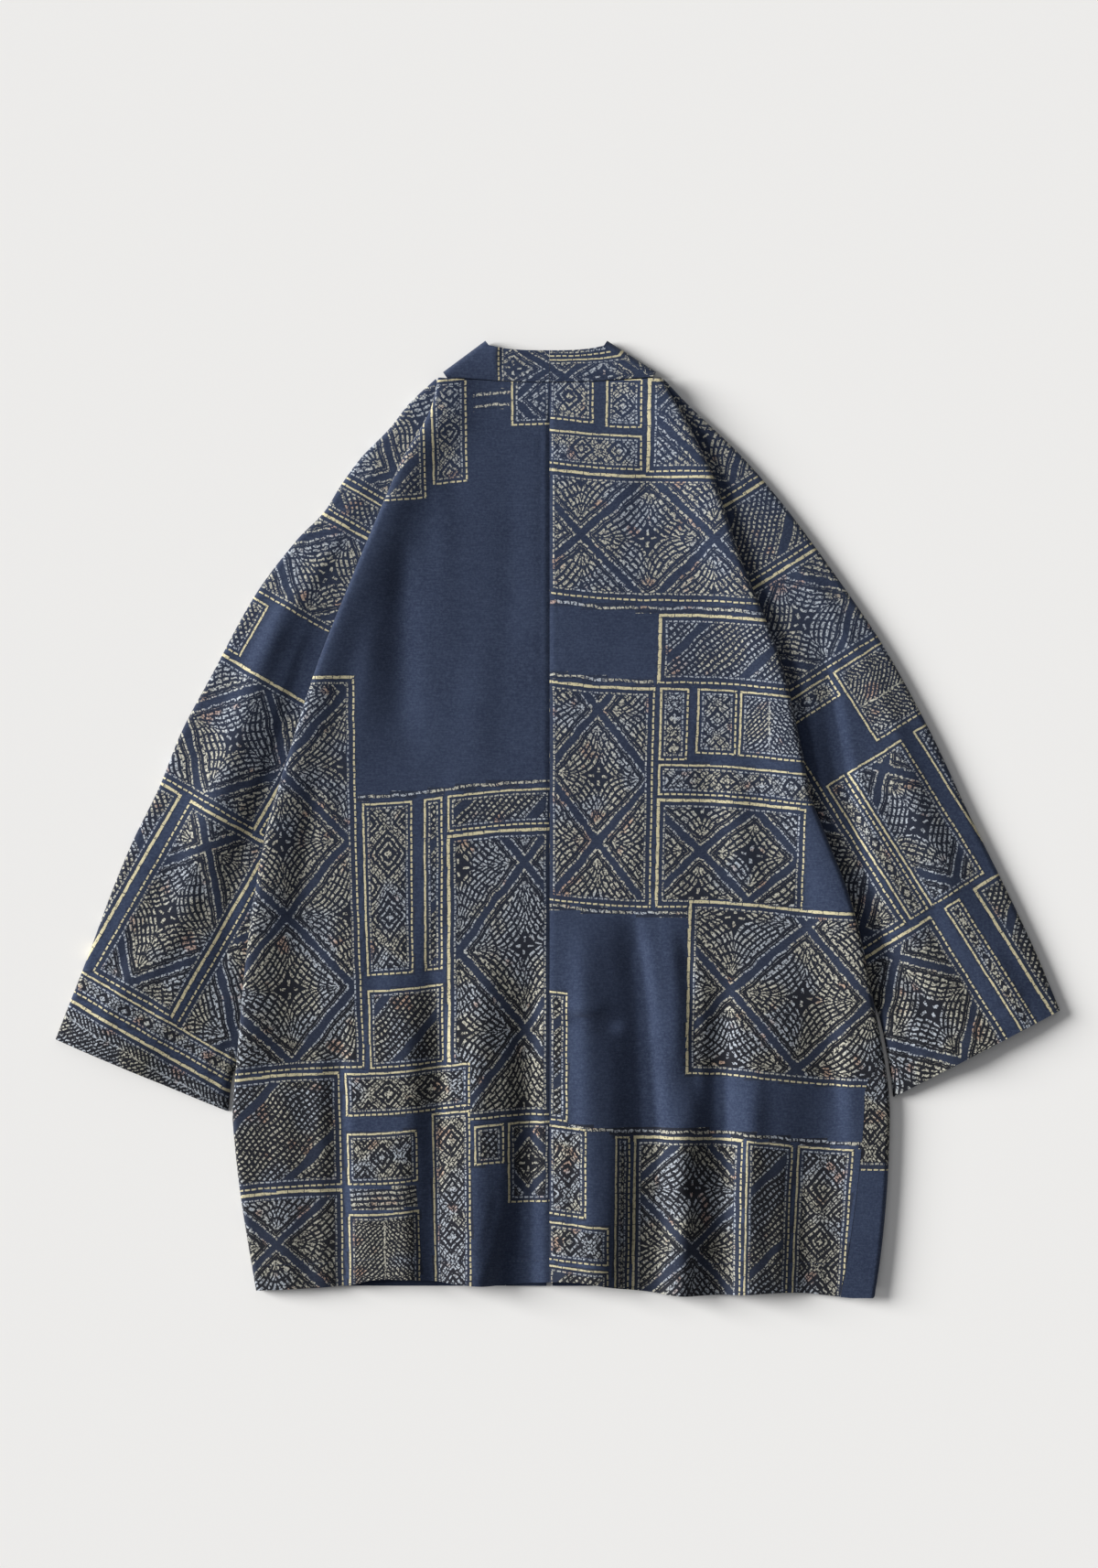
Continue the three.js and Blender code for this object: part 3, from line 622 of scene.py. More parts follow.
def printing(placed, faces, outer_count, layer, blocks, reverse):
    """Which block of the print each face lies in, and where its corners lie in that block and motif."""
    corner = placed[faces % layer]
    centre = corner.mean(axis=1)
    kind = np.full(len(faces), PLAIN, np.int32)
    middle = np.zeros((len(faces), 2))
    motif = np.zeros((len(faces), 2))
    size = np.ones((len(faces), 2))
    half = np.full((len(faces), 2), FAR_FROM_EDGE)
    weight = np.ones(len(faces))
    for block, left, right, bottom, top, x, y, width, height in blocks:
        inside = (centre[:, 0] > left) & (centre[:, 0] < right)
        inside &= (centre[:, 1] > bottom) & (centre[:, 1] < top)
        kind[inside] = block
        middle[inside] = ((left + right) / 2, (bottom + top) / 2)
        half[inside] = ((right - left) / 2, (top - bottom) / 2)
        motif[inside] = (x, y)
        size[inside] = (width, height)
        weight[inside] = HEAVY_LINE if (right - left) * (top - bottom) > LARGE_BLOCK else LIGHT_LINE
    kind[outer_count:2 * outer_count] = reverse
    spread = np.ones(corner.shape[:2])
    from_motif = corner - motif[:, None]
    from_middle = corner - middle[:, None]
    return {
        "kind": kind,
        "motif": np.stack([from_motif[..., 0], from_motif[..., 1], spread * size[:, None, 0]], axis=-1),
        "block": np.stack([from_middle[..., 0], from_middle[..., 1], spread * size[:, None, 1]], axis=-1),
        "extent": np.stack([spread * half[:, None, 0], spread * half[:, None, 1], spread * weight[:, None]],
                           axis=-1),
    }


def rows_of(from_y, to_y, step):
    """Heights of the rows of a mesh, as near to a step apart as fits."""
    count = max(2, round((to_y - from_y) / step))
    return np.linspace(from_y, to_y, count + 1)


def grown(distance, growth):
    """Runs from 0 to 1 past a clear distance and over a length."""
    clear, length = growth
    return smooth((distance - clear) / length)


def rippled(x, y, ripples):
    """Height of all the ripples in a table."""
    return sum(height * ripple(finer * x, finer * y, seed) for height, finer, seed in ripples)


def groove(past, shape, more=0.0):
    """Depth of a soft groove, which more deepens."""
    place, half_width, depth = shape
    return np.exp(-(((past - place) / half_width) ** 2)) * (depth + more)


def turned_hem(past, rise, shape):
    """Height of the doubled cloth of a hem, less the groove of its stitches."""
    return rise * smooth(past / TURN_STEP) - groove(past, shape)


def back_grid(side, step):
    """Middle points of a back panel, and where they lie in the print."""
    sign = side["sign"]
    shares = [(0, t) for t in np.linspace(0, 1, BACK_COLUMNS)]
    shares += [(1, t) for t in np.linspace(0, 1, ROLL_COLUMNS + 1)[1:]]
    shares += [(2, 0.5), (2, 1.0), (3, 1.0)]
    grid, placed = [], []
    for y in rows_of(HEM_Y, NECK_Y, step):
        section = side_at(side, y)
        lengths = section["lengths"]
        whole, end = sum(lengths), back_end(side, section)
        own = np.array([sum(lengths[:part]) + t * lengths[part] for part, t in shares])
        share = np.arange(len(shares)) / (len(shares) - 1)
        along = mix(own * end / whole, share * end, seam_rise(side, y))
        distance = mix(SEAM_GAP / 2, end, along / end)
        points = on_side(side, section, distance)
        x = points[:, 0]
        inward = grown(section["turn"] - distance, FROM_FOLD)
        below_neck = grown(NECK_Y - y, FROM_NECK)
        rough = creased(x, np.full(x.shape, y), BACK_CREASES) + rippled(x, y, BACK_RIPPLES)
        pucker = PUCKER * (0.5 + 0.3 * math.sin(y / 5.3) + 0.2 * math.sin(y / 3.1 + 1.0))
        seam = groove(distance, CENTRE_SEAM, pucker) + groove(distance, BESIDE_SEAM, pucker)
        neck_seam = groove(NECK_Y - y, NECK_SEAM)
        hem = turned_hem(HEM_Y + HEM_TURN - y, HEM_TURN_RISE, HEM_GROOVE)
        on_top = (distance < section["turn"] + 1).astype(float)
        moved = points[:, 2] + inward * below_neck * rough
        moved = moved + on_top * (hem * inward - seam * below_neck - neck_seam * inward)
        points[:, 2] = np.maximum(moved, np.minimum(points[:, 2], LOWEST_UPPER))
        reach = (x - CENTRE_BACK) / NECK_WIDTH
        neck = np.maximum(0, 1 - reach * reach) * ((y - HEM_Y) / (NECK_Y - HEM_Y)) ** NECK_DIP_FADE
        points[:, 1] += hem_shift(read(HEM, 1, x), y) - NECK_DIP * neck
        grid.append(points)
        u, v = grained(side["word"], CENTRE_BACK + sign * distance, points[:, 1])
        placed.append(np.stack([u, v], axis=-1))
    return np.array(grid), np.array(placed)


def band_x(side, column, y):
    x = read(FRONT_BAND, column, y, key=column + 1)
    return CENTRE_BACK + side["sign"] * (CENTRE_BACK - x)


def front_grid(side, step):
    """Middle points of a front panel, which on the right comes round the edge and shows as a strip."""
    sign = side["sign"]
    lying_columns, columns = WRAPPED_FRONT_COLUMNS if side["seam_rises"] else FLAT_FRONT_COLUMNS
    share = np.arange(columns + 1) / columns
    grid, placed = [], []
    for y in rows_of(HEM_Y, side["sleeve_top"], step):
        section = side_at(side, y)
        whole, rise = sum(section["lengths"]), seam_rise(side, y)
        inner = sign * (band_x(side, 0, y) - CENTRE_BACK) + SEAM_GAP
        lying = section["foot"] - SOLID_CLOTH / 2 - SEAM_GAP - inner
        gap = SEAM_GAP * (1 + WRAP_GAP * min(1, rise * WRAP_SOON) * (1 - rise))
        edge = SOLID_CLOTH / 2 + SEAM_GAP
        wrapped = whole - back_end(side, section) + edge - gap if rise > 0 else 0
        i = np.arange(columns + 1)
        past = (i - lying_columns) / max(1, columns - lying_columns)
        bunched = np.where(i <= lying_columns, i / lying_columns * lying, lying + past * wrapped)
        distance = mix(share * (lying + wrapped), bunched, smooth(rise * SPREAD_SOON))
        flat = distance <= lying
        points = on_side(side, section, whole + edge - (distance - lying))
        shown = grown(points[:, 2], SHOWN_HEIGHTS)
        shown_hem = mix(FRONT_HEM_Y, read(HEM, 1, points[:, 0]), shown)
        points[:, 2] = np.maximum(points[:, 2], LYING)
        points[:, 1] = y + np.where(flat, hem_shift(FRONT_HEM_Y, y), hem_shift(shown_hem, y))
        points[flat, 0] = CENTRE_BACK + sign * (inner + distance[flat])
        points[flat, 2] = LYING
        grid.append(points)
        placed.append(np.stack([distance - lying, points[:, 1]], axis=-1))
    return np.array(grid), np.array(placed)


def sleeve_height(side, v, w, width, covered):
    """Height of a sleeve's upper layer, v along it from the shoulder and w in from its outer fold."""
    folds = np.zeros(np.shape(w))
    for shoulder, cuff, starts, height, outward, inward in side["sleeve_folds"]:
        growth = smooth((v - starts) / SLEEVE_FOLD_GROWTH)
        folds = folds + height * growth * hump(w - mix(shoulder, cuff, v), outward, inward)
    inner = smooth(((1 - w) * width - covered) / SLEEVE_RISE)
    outer = smooth(w * width / SLEEVE_RISE)
    return mix(SLEEVE_EDGE_LEVEL, SLEEVE_LEVEL, w) + (folds + SLEEVE_PUFF) * inner * outer


def sleeve_frame(side):
    """The shoulder end of a sleeve's outer fold, the way along it and the way in from it."""
    start = np.array([side["outline"][0][1], side["outline"][0][0]], float)
    end = np.array([side["outline"][-1][1], side["outline"][-1][0]], float)
    along = (end - start) / np.linalg.norm(end - start)
    inward = np.array([-along[1], along[0]]) * side["sign"] * -1
    if inward[0] * side["sign"] > 0:
        inward = -inward
    return start, along, inward


def sleeve_grid(side, step):
    """Middle points of a sleeve: under layer, outer fold, upper layer."""
    sign = side["sign"]
    top_y, cuff_y = side["outline"][0][0], side["outline"][-1][0]
    start, way_along, way_in = sleeve_frame(side)
    creases = SLEEVE_CREASES[side["word"]]
    lower_columns, fold_columns, upper_columns = SLEEVE_COLUMNS
    grid, placed = [], []
    for inner_y in rows_of(side["cuff"], side["sleeve_top"], step):
        v = (side["sleeve_top"] - inner_y) / (side["sleeve_top"] - side["cuff"])
        outer_y = mix(top_y, cuff_y, v)
        section = side_at(side, inner_y)
        closed = smooth((side["underarm"] - inner_y) / SLEEVE_CLOSING)
        outer = np.array([read(side["outline"], 1, outer_y), outer_y])
        fold_x = read(side["edge"], 1, inner_y)
        clear = fold_x + sign * (2 * SEAM_GAP + CUFF_CLEAR * section["closing"] * v * v)
        beside = read(side["edge"], 2, inner_y) + sign * section["joined"] * (SOLID_CLOTH + 2 * SEAM_GAP)
        seam_x = mix(beside, clear, min(1, EDGE_LEAD * section["closing"]))
        inward = np.array([seam_x, inner_y]) - outer
        width = np.linalg.norm(inward) - SOLID_CLOTH / 2
        inward = inward / np.linalg.norm(inward)
        radius = (SLEEVE_EDGE_LEVEL - LYING) / 2
        covered = mix(abs(fold_x - seam_x) + SLEEVE_COVERED, SLEEVE_TAPER, closed)
        lower = np.linspace(width, radius, lower_columns)
        angle = np.linspace(0, math.pi, fold_columns + 2)[1:-1]
        upper = np.linspace(radius, width, upper_columns)
        past = np.concatenate([lower, radius - radius * np.sin(angle), upper])
        open_z = sleeve_height(side, v, upper / width, width, covered)
        near = np.minimum((width - upper) / SLEEVE_TAPER, 1)
        shut_z = mix(LYING + SOLID_CLOTH + SEAM_GAP, open_z, np.sqrt(np.maximum(0, 1 - (1 - near) ** 2)))
        upper_z = mix(open_z, shut_z, closed)
        turned_z = LYING + radius - radius * np.cos(angle)
        z = np.concatenate([np.full(lower.shape, LYING), turned_z, upper_z])
        plan = outer + inward * (past + SOLID_CLOTH / 2)[:, None]
        frame_along = (plan - start) @ way_along
        frame_in = (plan - start) @ way_in
        rough = creased(frame_along, frame_in, creases) + rippled(frame_along, frame_in, SLEEVE_RIPPLES)
        room = grown(width - past - covered, FROM_SLEEVE_SEAM) * grown(past, FROM_SLEEVE_FOLD)
        on_top = np.concatenate([np.zeros(lower.size + angle.size), np.ones(upper.size)])
        cuff_hem = turned_hem(side["cuff"] + CUFF_TURN - inner_y, CUFF_TURN_RISE, CUFF_GROOVE)
        z = np.maximum(z + on_top * room * (rough + cuff_hem), np.minimum(z, LOWEST_UPPER))
        grid.append(np.column_stack([plan, z]))
        under = np.concatenate([np.full(lower.size, -1.0), np.ones(angle.size + upper.size)])
        edge_in = (outer - start) @ way_in
        placed.append(np.stack([frame_along, edge_in + (frame_in - edge_in) * under], axis=-1))
    return np.array(grid), np.array(placed)


def collar_grid(side, step):
    """Middle points of half the collar: behind the neck, round the shoulder's fold and down the front."""
    sign = side["sign"]
    radius = (COLLAR_LEVEL - COLLAR_CLOTH / 2) / 2
    tip, shoulder = np.array(side["tip"], float), np.array(side["shoulder"], float)
    along = (tip - shoulder) / np.linalg.norm(tip - shoulder)
    outward = np.array([sign * along[1], -sign * along[0]])
    inset = radius + COLLAR_CLOTH / 2
    w = np.linspace(0, 1, COLLAR_COLUMNS)[:, None]
    up = BAND_WIDTH * w[:, 0]
    ripple_height, ripple_length = COLLAR_RIPPLE
    axis = mix(shoulder, tip, w) - outward * inset
    start_x = CENTRE_BACK + sign * SEAM_GAP / 2
    grid, placed = [], []
    travelled = 0.0
    for t in np.linspace(0, 1, COLLAR_NECK_ROWS + 1)[:-1]:
        x = mix(start_x, axis[:, 0], t)
        reach = (x - CENTRE_BACK) / NECK_WIDTH
        seam_y = NECK_Y - NECK_DIP * (1 - reach * reach) + SEAM_GAP
        bend = t**3
        edge_y = np.maximum(seam_y, mix(seam_y, axis[0, 1], bend))
        y = mix(edge_y, mix(COLLAR_TOP_Y, axis[-1, 1], bend), w[:, 0])
        z = COLLAR_LEVEL + ripple_height * np.sin(x / ripple_length) * w[:, 0] * (1 - t)
        z = z - groove(w[:, 0], COLLAR_SEAM) * (1 - bend)
        if side is LEFT:
            stepped = smooth((CENTRE_BACK - x - COLLAR_STEP_AT) / COLLAR_STEP_LENGTH)
            z = z + COLLAR_STEP * w[:, 0] * stepped * (1 - bend)
        grid.append(np.column_stack([x, y, z]))
        placed.append(np.column_stack([sign * (x - CENTRE_BACK), up]))
        travelled = abs(float(x[0]) - CENTRE_BACK)
    for t in np.linspace(0, 1, COLLAR_TURN_ROWS):
        angle = t * math.pi
        plan = axis + outward * radius * math.sin(angle)
        z = np.full(len(plan), COLLAR_LEVEL - radius * (1 - math.cos(angle)))
        grid.append(np.column_stack([plan, z]))
        run = np.full(len(plan), travelled + COLLAR_TURN_FROM + radius * angle)
        placed.append(np.column_stack([run, up]))
    travelled += COLLAR_TURN_FROM + radius * math.pi
    free_top = float(axis[-1, 1])
    for seam_y in rows_of(HEM_Y, side["sleeve_top"], step)[::-1]:
        t = (side["sleeve_top"] - seam_y) / (side["sleeve_top"] - HEM_Y)
        free_y = mix(free_top - BAND_START, HEM_Y, t)
        seam = np.array([band_x(side, 0, seam_y), seam_y + float(hem_shift(FRONT_HEM_Y, seam_y))])
        free = np.array([band_x(side, 2, free_y), free_y + float(hem_shift(FRONT_HEM_Y, free_y))])
        plan = mix(seam, free, w)
        grid.append(np.column_stack([plan, np.full(len(plan), COLLAR_CLOTH / 2)]))
        run = np.full(len(plan), travelled + side["sleeve_top"] - seam_y)
        placed.append(np.column_stack([run, up]))
    return np.array(grid), np.array(placed)


# Shader maths

def operation(kind, swapped=False):
    """A method that adds a maths node for a value and others."""
    def method(self, *others):
        values = (*others, self) if swapped else (self, *others)
        return Field.maths(kind, *values)

    return method


class Field:
    """A shader socket that can be used in Python expressions."""

    tree = None

    def __init__(self, socket):
        self.socket = socket

    @classmethod
    def node(cls, kind, settings=None, **inputs):
        """Adds a node: its settings first, then the values or links of its sockets."""
        node = cls.tree.nodes.new(kind)
        for key, value in (settings or {}).items():
            setattr(node, key, value)
        for key, value in inputs.items():
            name = int(key[1:]) if key[0] == "i" and key[1:].isdigit() else key.replace("_", " ")
            socket = node.inputs[name]
            if isinstance(value, Field):
                cls.tree.links.new(value.socket, socket)
            else:
                socket.default_value = value
        return node

    @classmethod
    def maths(cls, operation, *values):
        inputs = {f"i{k}": value for k, value in enumerate(values)}
        return cls(cls.node("ShaderNodeMath", {"operation": operation}, **inputs).outputs[0])

    __add__ = __radd__ = operation("ADD")
    __sub__ = operation("SUBTRACT")
    __rsub__ = operation("SUBTRACT", swapped=True)
    __mul__ = __rmul__ = operation("MULTIPLY")
    __truediv__ = operation("DIVIDE")
    __rtruediv__ = operation("DIVIDE", swapped=True)
    __lt__ = operation("LESS_THAN")
    __gt__ = operation("GREATER_THAN")
    __abs__ = operation("ABSOLUTE")
    part = operation("FRACT")
    whole = operation("FLOOR")
    least = operation("MINIMUM")
    most = operation("MAXIMUM")
    power = operation("POWER")


def split(vector):
    """The three numbers of a vector."""
    return [Field(output) for output in Field.node("ShaderNodeSeparateXYZ", None, Vector=vector).outputs]


def attribute(name):
    """The three numbers that a mesh attribute holds at a point."""
    return split(Field(Field.node("ShaderNodeAttribute", {"attribute_name": name}).outputs["Vector"]))


# Noises of the cloth and its print: repeats in a metre, and detail
NOISES = {
    "fleck": (1900.0, 1.0), "cloud": (9.0, 3.0), "patch": (38.0, 3.0), "slub": (160.0, 2.0),
    "mottle": (520.0, 2.0), "waver": (45.0, 1.0), "fine": (260.0, 1.0), "worn": (700.0, 2.0),
    "tint": (24.0, 1.0), "rust": (55.0, 1.0), "twist": (2600.0, 1.0),
}


def noise(vector, name):
    scale, detail = NOISES[name]
    settings = {"noise_dimensions": "3D"}
    node = Field.node("ShaderNodeTexNoise", settings, Vector=vector, Scale=scale, Detail=detail)
    return Field(node.outputs["Fac"])


def blend_colour(factor, first, second):
    node = Field.tree.nodes.new("ShaderNodeMix")
    node.data_type = "RGBA"
    for index, value in ((0, factor), (6, first), (7, second)):
        if isinstance(value, Field):
            Field.tree.links.new(value.socket, node.inputs[index])
        else:
            node.inputs[index].default_value = value
    return Field(node.outputs[2])


def band(value, centre, half_width):
    """1 where a value lies within half_width of a centre."""
    return abs(value - centre) < half_width


def dashes(along, pitch, share):
    """1 on the drawn share of each pitch along a line."""
    return (along / pitch).part() < share


# Millimetres between rows of strokes, and between the curves that sweep round a star, along its arms
ROW_PITCH = 4.2
SWEEP_PITCH = 9.0

# Share of each pitch that a row fills, and pitch in millimetres and share of the dashes of each line
ROW_SHARE = 0.44
SWEEP_SHARE = 0.48
DOT_SHARE = 0.46
RING_SHARE = 0.35
RAY_SHARE = 0.42
OUTLINE_DASHES = (5.0, 0.8)
ROW_DASHES = (7.4, 0.76)
SWEEP_DASHES = (7.2, 0.76)
DOT_DASHES = (3.9, 0.58)
EDGE_DASHES = (4.6, 0.74)
RING_DASHES = (5.6, 0.76)
CROSS_DASHES = (4.6, 0.72)
RAY_DASHES = (6.4, 0.74)
SHORT_DASHES = (6.0, 0.8)

# How the strokes of one row are shifted against those of the next
ROW_SHIFT = (1.73, 7.0)
SWEEP_SHIFT = (2.1, 9.0)
DOT_SHIFT = 1.3
RAY_SHIFT = 2.3
SHORT_LEAN = 0.2

# Star print, in millimetres in from the lattice or out from a centre: half the plain band, place and half
# width of its outline, where its rows and its sweeps start, how far its dark heart reaches, and the dashes
# of the cross in it. The powers make the four sides of a shape hollow, and take that back.
STAR_BAND = 4.4
STAR_OUTLINE = (3.7, 0.75)
ROWS_FROM = 5.8
SWEEPS_FROM = 10.5
HEART_REACH = 13.0
HEART_POWERS = (0.75, 1.333)
SWEEP_POWERS = (0.62, 1.613)
CROSS_HALF_WIDTH = 0.95
CROSS_DASH = (5.4, 2.2)

# Dots print: distance between its plain bands in motifs, half a band, its edges, and where the dots start
BANDS_APART = 1.9
DOTS_BAND = 3.4
DOTS_EDGE = (4.4, 0.7)
DOTS_FROM = 5.6

# Chain print: pitch and place of its rings, where they start, its heart, and half width of its crosses
RING_PITCH = 4.0
RING_PLACE = 0.62
RINGS_FROM = 1.2
CHAIN_HEART = 2.6
CHAIN_LINE = 0.8

# Half widths of the upright line of the rays, and of a row of short strokes
RAY_LINE = 0.7
SHORT_LINE = 1.1


def diamond(u, v, width, height):
    """Distance in millimetres from the lines of a lattice of diamonds, the run along them, and the
    place inside a diamond from its centre."""
    a = abs((u / width + 0.5).part() - 0.5) * 2
    b = abs((v / height + 0.5).part() - 0.5) * 2
    total = a + b
    inside = total < 1.0
    near = total.least(2.0 - total)
    scale = 1.0 / ((2.0 / width) * (2.0 / width) + (2.0 / height) * (2.0 / height)).power(0.5)
    off_u = abs(inside * a + (1.0 - inside) * (1.0 - a)) * width / 2
    off_v = abs(inside * b + (1.0 - inside) * (1.0 - b)) * height / 2
    return (1.0 - near) * scale, (a - b) * scale, off_u, off_v


def strokes(across, pitch, share):
    """The number of each row of strokes, and 1 on the share of it that is drawn."""
    rows = across / pitch
    return rows.whole(), rows.part() < share


def uneven(row, step, reach):
    """A shift that differs from row to row, so that strokes don't line up."""
    return (row * step).part() * reach


def hollow(a, b, powers):
    """Distance from a centre in a shape with four hollow sides."""
    bend, unbend = powers
    return (a.power(bend) + b.power(bend)).power(unbend)


def star_print(u, v, width, height):
    """Diamonds with a plain band between them, strokes along their sides, and at the centre a dark
    star with strokes that sweep from one of its arms to the next."""
    off, run, du, dv = diamond(u, v, width, height)
    outline = band(off, *STAR_OUTLINE) * dashes(run, *OUTLINE_DASHES)
    row, drawn = strokes(off, ROW_PITCH, ROW_SHARE)
    rows = drawn * dashes(run + uneven(row, *ROW_SHIFT), *ROW_DASHES)
    reach = hollow(du / width, dv / height, SWEEP_POWERS) * (width + height) / 2
    curve, swept = strokes(reach, SWEEP_PITCH, SWEEP_SHARE)
    sweeps = swept * dashes(run + uneven(curve, *SWEEP_SHIFT), *SWEEP_DASHES)
    inner = off > SWEEPS_FROM
    texture = (inner * sweeps + (1.0 - inner) * rows) * (off > ROWS_FROM)
    heart = hollow(du, dv, HEART_POWERS) < HEART_REACH
    upright = (du < CROSS_HALF_WIDTH) * band(dv, *CROSS_DASH)
    level = (dv < CROSS_HALF_WIDTH) * band(du, *CROSS_DASH)
    return (outline + texture * (1.0 - heart) + upright + level).least(1.0), off > STAR_BAND


def dots_print(u, v, width, height):
    """Slanting rows of dots beside plain bands with dashed edges."""
    slant = (u + v) * DIAGONAL
    other = (u - v) * DIAGONAL
    row, drawn = strokes(other, ROW_PITCH, DOT_SHARE)
    rows = drawn * dashes(slant + row * DOT_SHIFT, *DOT_DASHES)
    across = abs((other / (width * BANDS_APART)).part() - 0.5) * width * BANDS_APART
    edge = band(across, *DOTS_EDGE) * dashes(slant, *EDGE_DASHES)
    return (rows * (across > DOTS_FROM) + edge).least(1.0), across > DOTS_BAND


def chain_print(u, v, width, height):
    """Small diamonds set in each other, joined by crosses."""
    off, run, du, dv = diamond(u, v, width, height)
    rings = ((off / RING_PITCH + RING_PLACE).part() < RING_SHARE) * dashes(run, *RING_DASHES)
    heart = (du + dv) < CHAIN_HEART
    crosses = band(off, 0.0, CHAIN_LINE) * dashes(run, *CROSS_DASHES)
    return (rings * (off > RINGS_FROM) + heart + crosses).least(1.0), 1.0


def rays_print(u, v, width, height):
    """Dashed lines that fan out from a corner of each motif."""
    a = abs((u / width + 0.5).part() - 0.5) * width
    b = (v / height + 0.5).part() * height
    row, drawn = strokes(a + b, ROW_PITCH, RAY_SHARE)
    rays = drawn * dashes(a - b + row * RAY_SHIFT, *RAY_DASHES)
    return (rays + band(a, 0.0, RAY_LINE)).least(1.0), 1.0


def rows_print(u, v, width, height):
    """Rows of short strokes on a ground half as dark as the others'."""
    line = abs((v / height + 0.5).part() - 0.5) * height
    return (line < SHORT_LINE) * dashes(u + v * SHORT_LEAN, *SHORT_DASHES), 0.5


PRINTS = (None, star_print, dots_print, chain_print, rays_print, rows_print)
PRINT_NAMES = ("plain", "star", "dots", "chain", "rays", "rows")


# How dark the ground between strokes is at the middle of the shirt, how that fades towards the neck in
# a metre, and the share of it that plain bands within a block have. The ground itself is print; its
# deepening towards the hem is painted fold shade, and its fading towards the neck is painted sheen.
GROUND_DEPTH = 0.72
GROUND_PAINTED_LIGHT_FADE = 1.5
BAND_SHARE = 0.45
# Where the print starts to lose strength towards the hem, and how much it loses in a metre: this dimming
# is painted fold shade
PAINTED_SHADE_FROM = -0.14
PAINTED_SHADE_BY = 0.75


# How many times finer slubs are along each axis
SLUB_STRETCH = (1.0, 14.0, 1.0)

# Shade of deep indigo that covers the reverse of the cloth, and how much it covers
REVERSE_SHADE = 0.7
REVERSE_SHARE = 0.55

# How far the print's lines stray from their places, in millimetres, in long waves and in short ones
WAVER = 4.8
FINE_WAVER = 2.8

# Border of a block, in millimetres: where its line runs, how far in the print starts and how much
# farther behind a heavy line, how far before the print its second line runs, half widths of the lines,
# and the pitch and share of their dashes
BORDER_AT = 1.8
PRINT_FROM = 3.8
PRINT_FROM_PER_WEIGHT = 3.4
SECOND_BEFORE = 1.2
LIGHT_HALF_WIDTH = 0.7
SECOND_HALF_WIDTH = 0.65
FIRM_DASHES = (13.0, 0.96)
LIGHT_DASHES = (5.2, 0.74)
SECOND_DASHES = (4.4, 0.72)


def colour_input(value):
    return (value[0], value[1], value[2], 1.0)


def ramp(value, start, slope, top=1.0):
    """Rises from 0, where a value passes the start, up to the top."""
    return ((value - start) * slope).most(0.0).least(top)


def woven(place, settings):
    """Colour of the bare cloth, faded in clouds and with paler threads, and how its threads stand up."""
    fleck = noise(place, "fleck")
    faded = ramp(noise(place, "cloud") * 0.5 + noise(place, "patch") * 0.5, 0.28, 2.3)
    base = blend_colour(faded, colour_input(settings.indigo_deep), colour_input(settings.indigo_faded))
    stretched = Field.node("ShaderNodeMapping", None, Vector=place, Scale=SLUB_STRETCH)
    slub = noise(Field(stretched.outputs[0]), "slub")
    pale = ramp(slub * 0.35 + fleck * 0.25 + noise(place, "mottle") * 0.4, 0.44, 3.2, 0.8)
    base = blend_colour(pale, base, colour_input(settings.indigo_light))
    return base, fleck * 1.4 + slub * 1.2


def border_lines(edge, run, far, weight):
    """The lines round a block: its border, firm at the left and top and dashed at the right and bottom,
    and a second dashed line where its print starts."""
    start = weight * PRINT_FROM_PER_WEIGHT + PRINT_FROM
    firm = band(edge, BORDER_AT, weight) * dashes(run, *FIRM_DASHES)
    light = band(edge, BORDER_AT, LIGHT_HALF_WIDTH) * dashes(run, *LIGHT_DASHES)
    second = band(edge, start - SECOND_BEFORE, SECOND_HALF_WIDTH) * dashes(run, *SECOND_DASHES)
    return far * light + (1.0 - far) * firm, second, edge > start


def print_over(base, place, motif, settings):
    """Lays one kind of print over the cloth, and returns the colour and where its marks are."""
    _, y, _ = split(place)
    u, v, width = attribute("motif")
    bu, bv, height = attribute("block")
    half_u, half_v, weight = attribute("extent")
    waver = (noise(place, "waver") - 0.5) * WAVER
    fine = (noise(place, "fine") - 0.5) * FINE_WAVER
    pattern, dark = PRINTS[motif](u + waver + fine, v - waver + fine, width, height)
    border = None
    if motif != ROWS:
        edge = (half_u - abs(bu)).least(half_v - abs(bv)) + waver * 0.3 + fine * 0.34
        frame_run = (half_u - abs(bu)) > (half_v - abs(bv))
        run = frame_run * bu + (1.0 - frame_run) * bv
        far = frame_run * (bv < 0.0) + (1.0 - frame_run) * (bu > 0.0)
        border, second, covered = border_lines(edge, run, far, weight)
        pattern = (pattern * covered + second).least(1.0)
        dark = covered * dark
    # The print's dark ground, deepened towards the hem as painted fold shade and faded towards the neck as
    # painted sheen
    depth = (GROUND_DEPTH - y * GROUND_PAINTED_LIGHT_FADE) * (dark * (1.0 - BAND_SHARE) + BAND_SHARE)
    base = blend_colour(depth, base, colour_input(settings.indigo_ground))
    # The print and its border dim towards the hem: painted fold shade
    strength = (y - PAINTED_SHADE_FROM).least(0.0) * PAINTED_SHADE_BY + settings.print_strength
    worn = noise(place, "worn")
    mark = pattern * ramp(worn, 0.37, 5.0)
    cream = colour_input(settings.print_cream)
    warm = ramp(noise(place, "tint"), 0.42, 6.0, 0.55)
    thread = blend_colour(warm, colour_input(settings.print_grey), cream)
    rust = ramp(noise(place, "rust"), 0.64, 9.0, 0.7)
    thread = blend_colour(rust, thread, colour_input(settings.print_rust))
    base = blend_colour(mark * strength, base, thread)
    if border is not None:
        border = border * ramp(worn, 0.28, 6.0)
        base = blend_colour(border * strength, base, cream)
        mark = (mark + border).least(1.0)
    return base, mark


def begin(name):
    """A new material with an empty tree, and the places on the object to colour it by."""
    material = bpy.data.materials.new(name)
    material.use_nodes = True
    material.node_tree.nodes.clear()
    Field.tree = material.node_tree
    return material, Field(Field.node("ShaderNodeTexCoord").outputs["Object"])


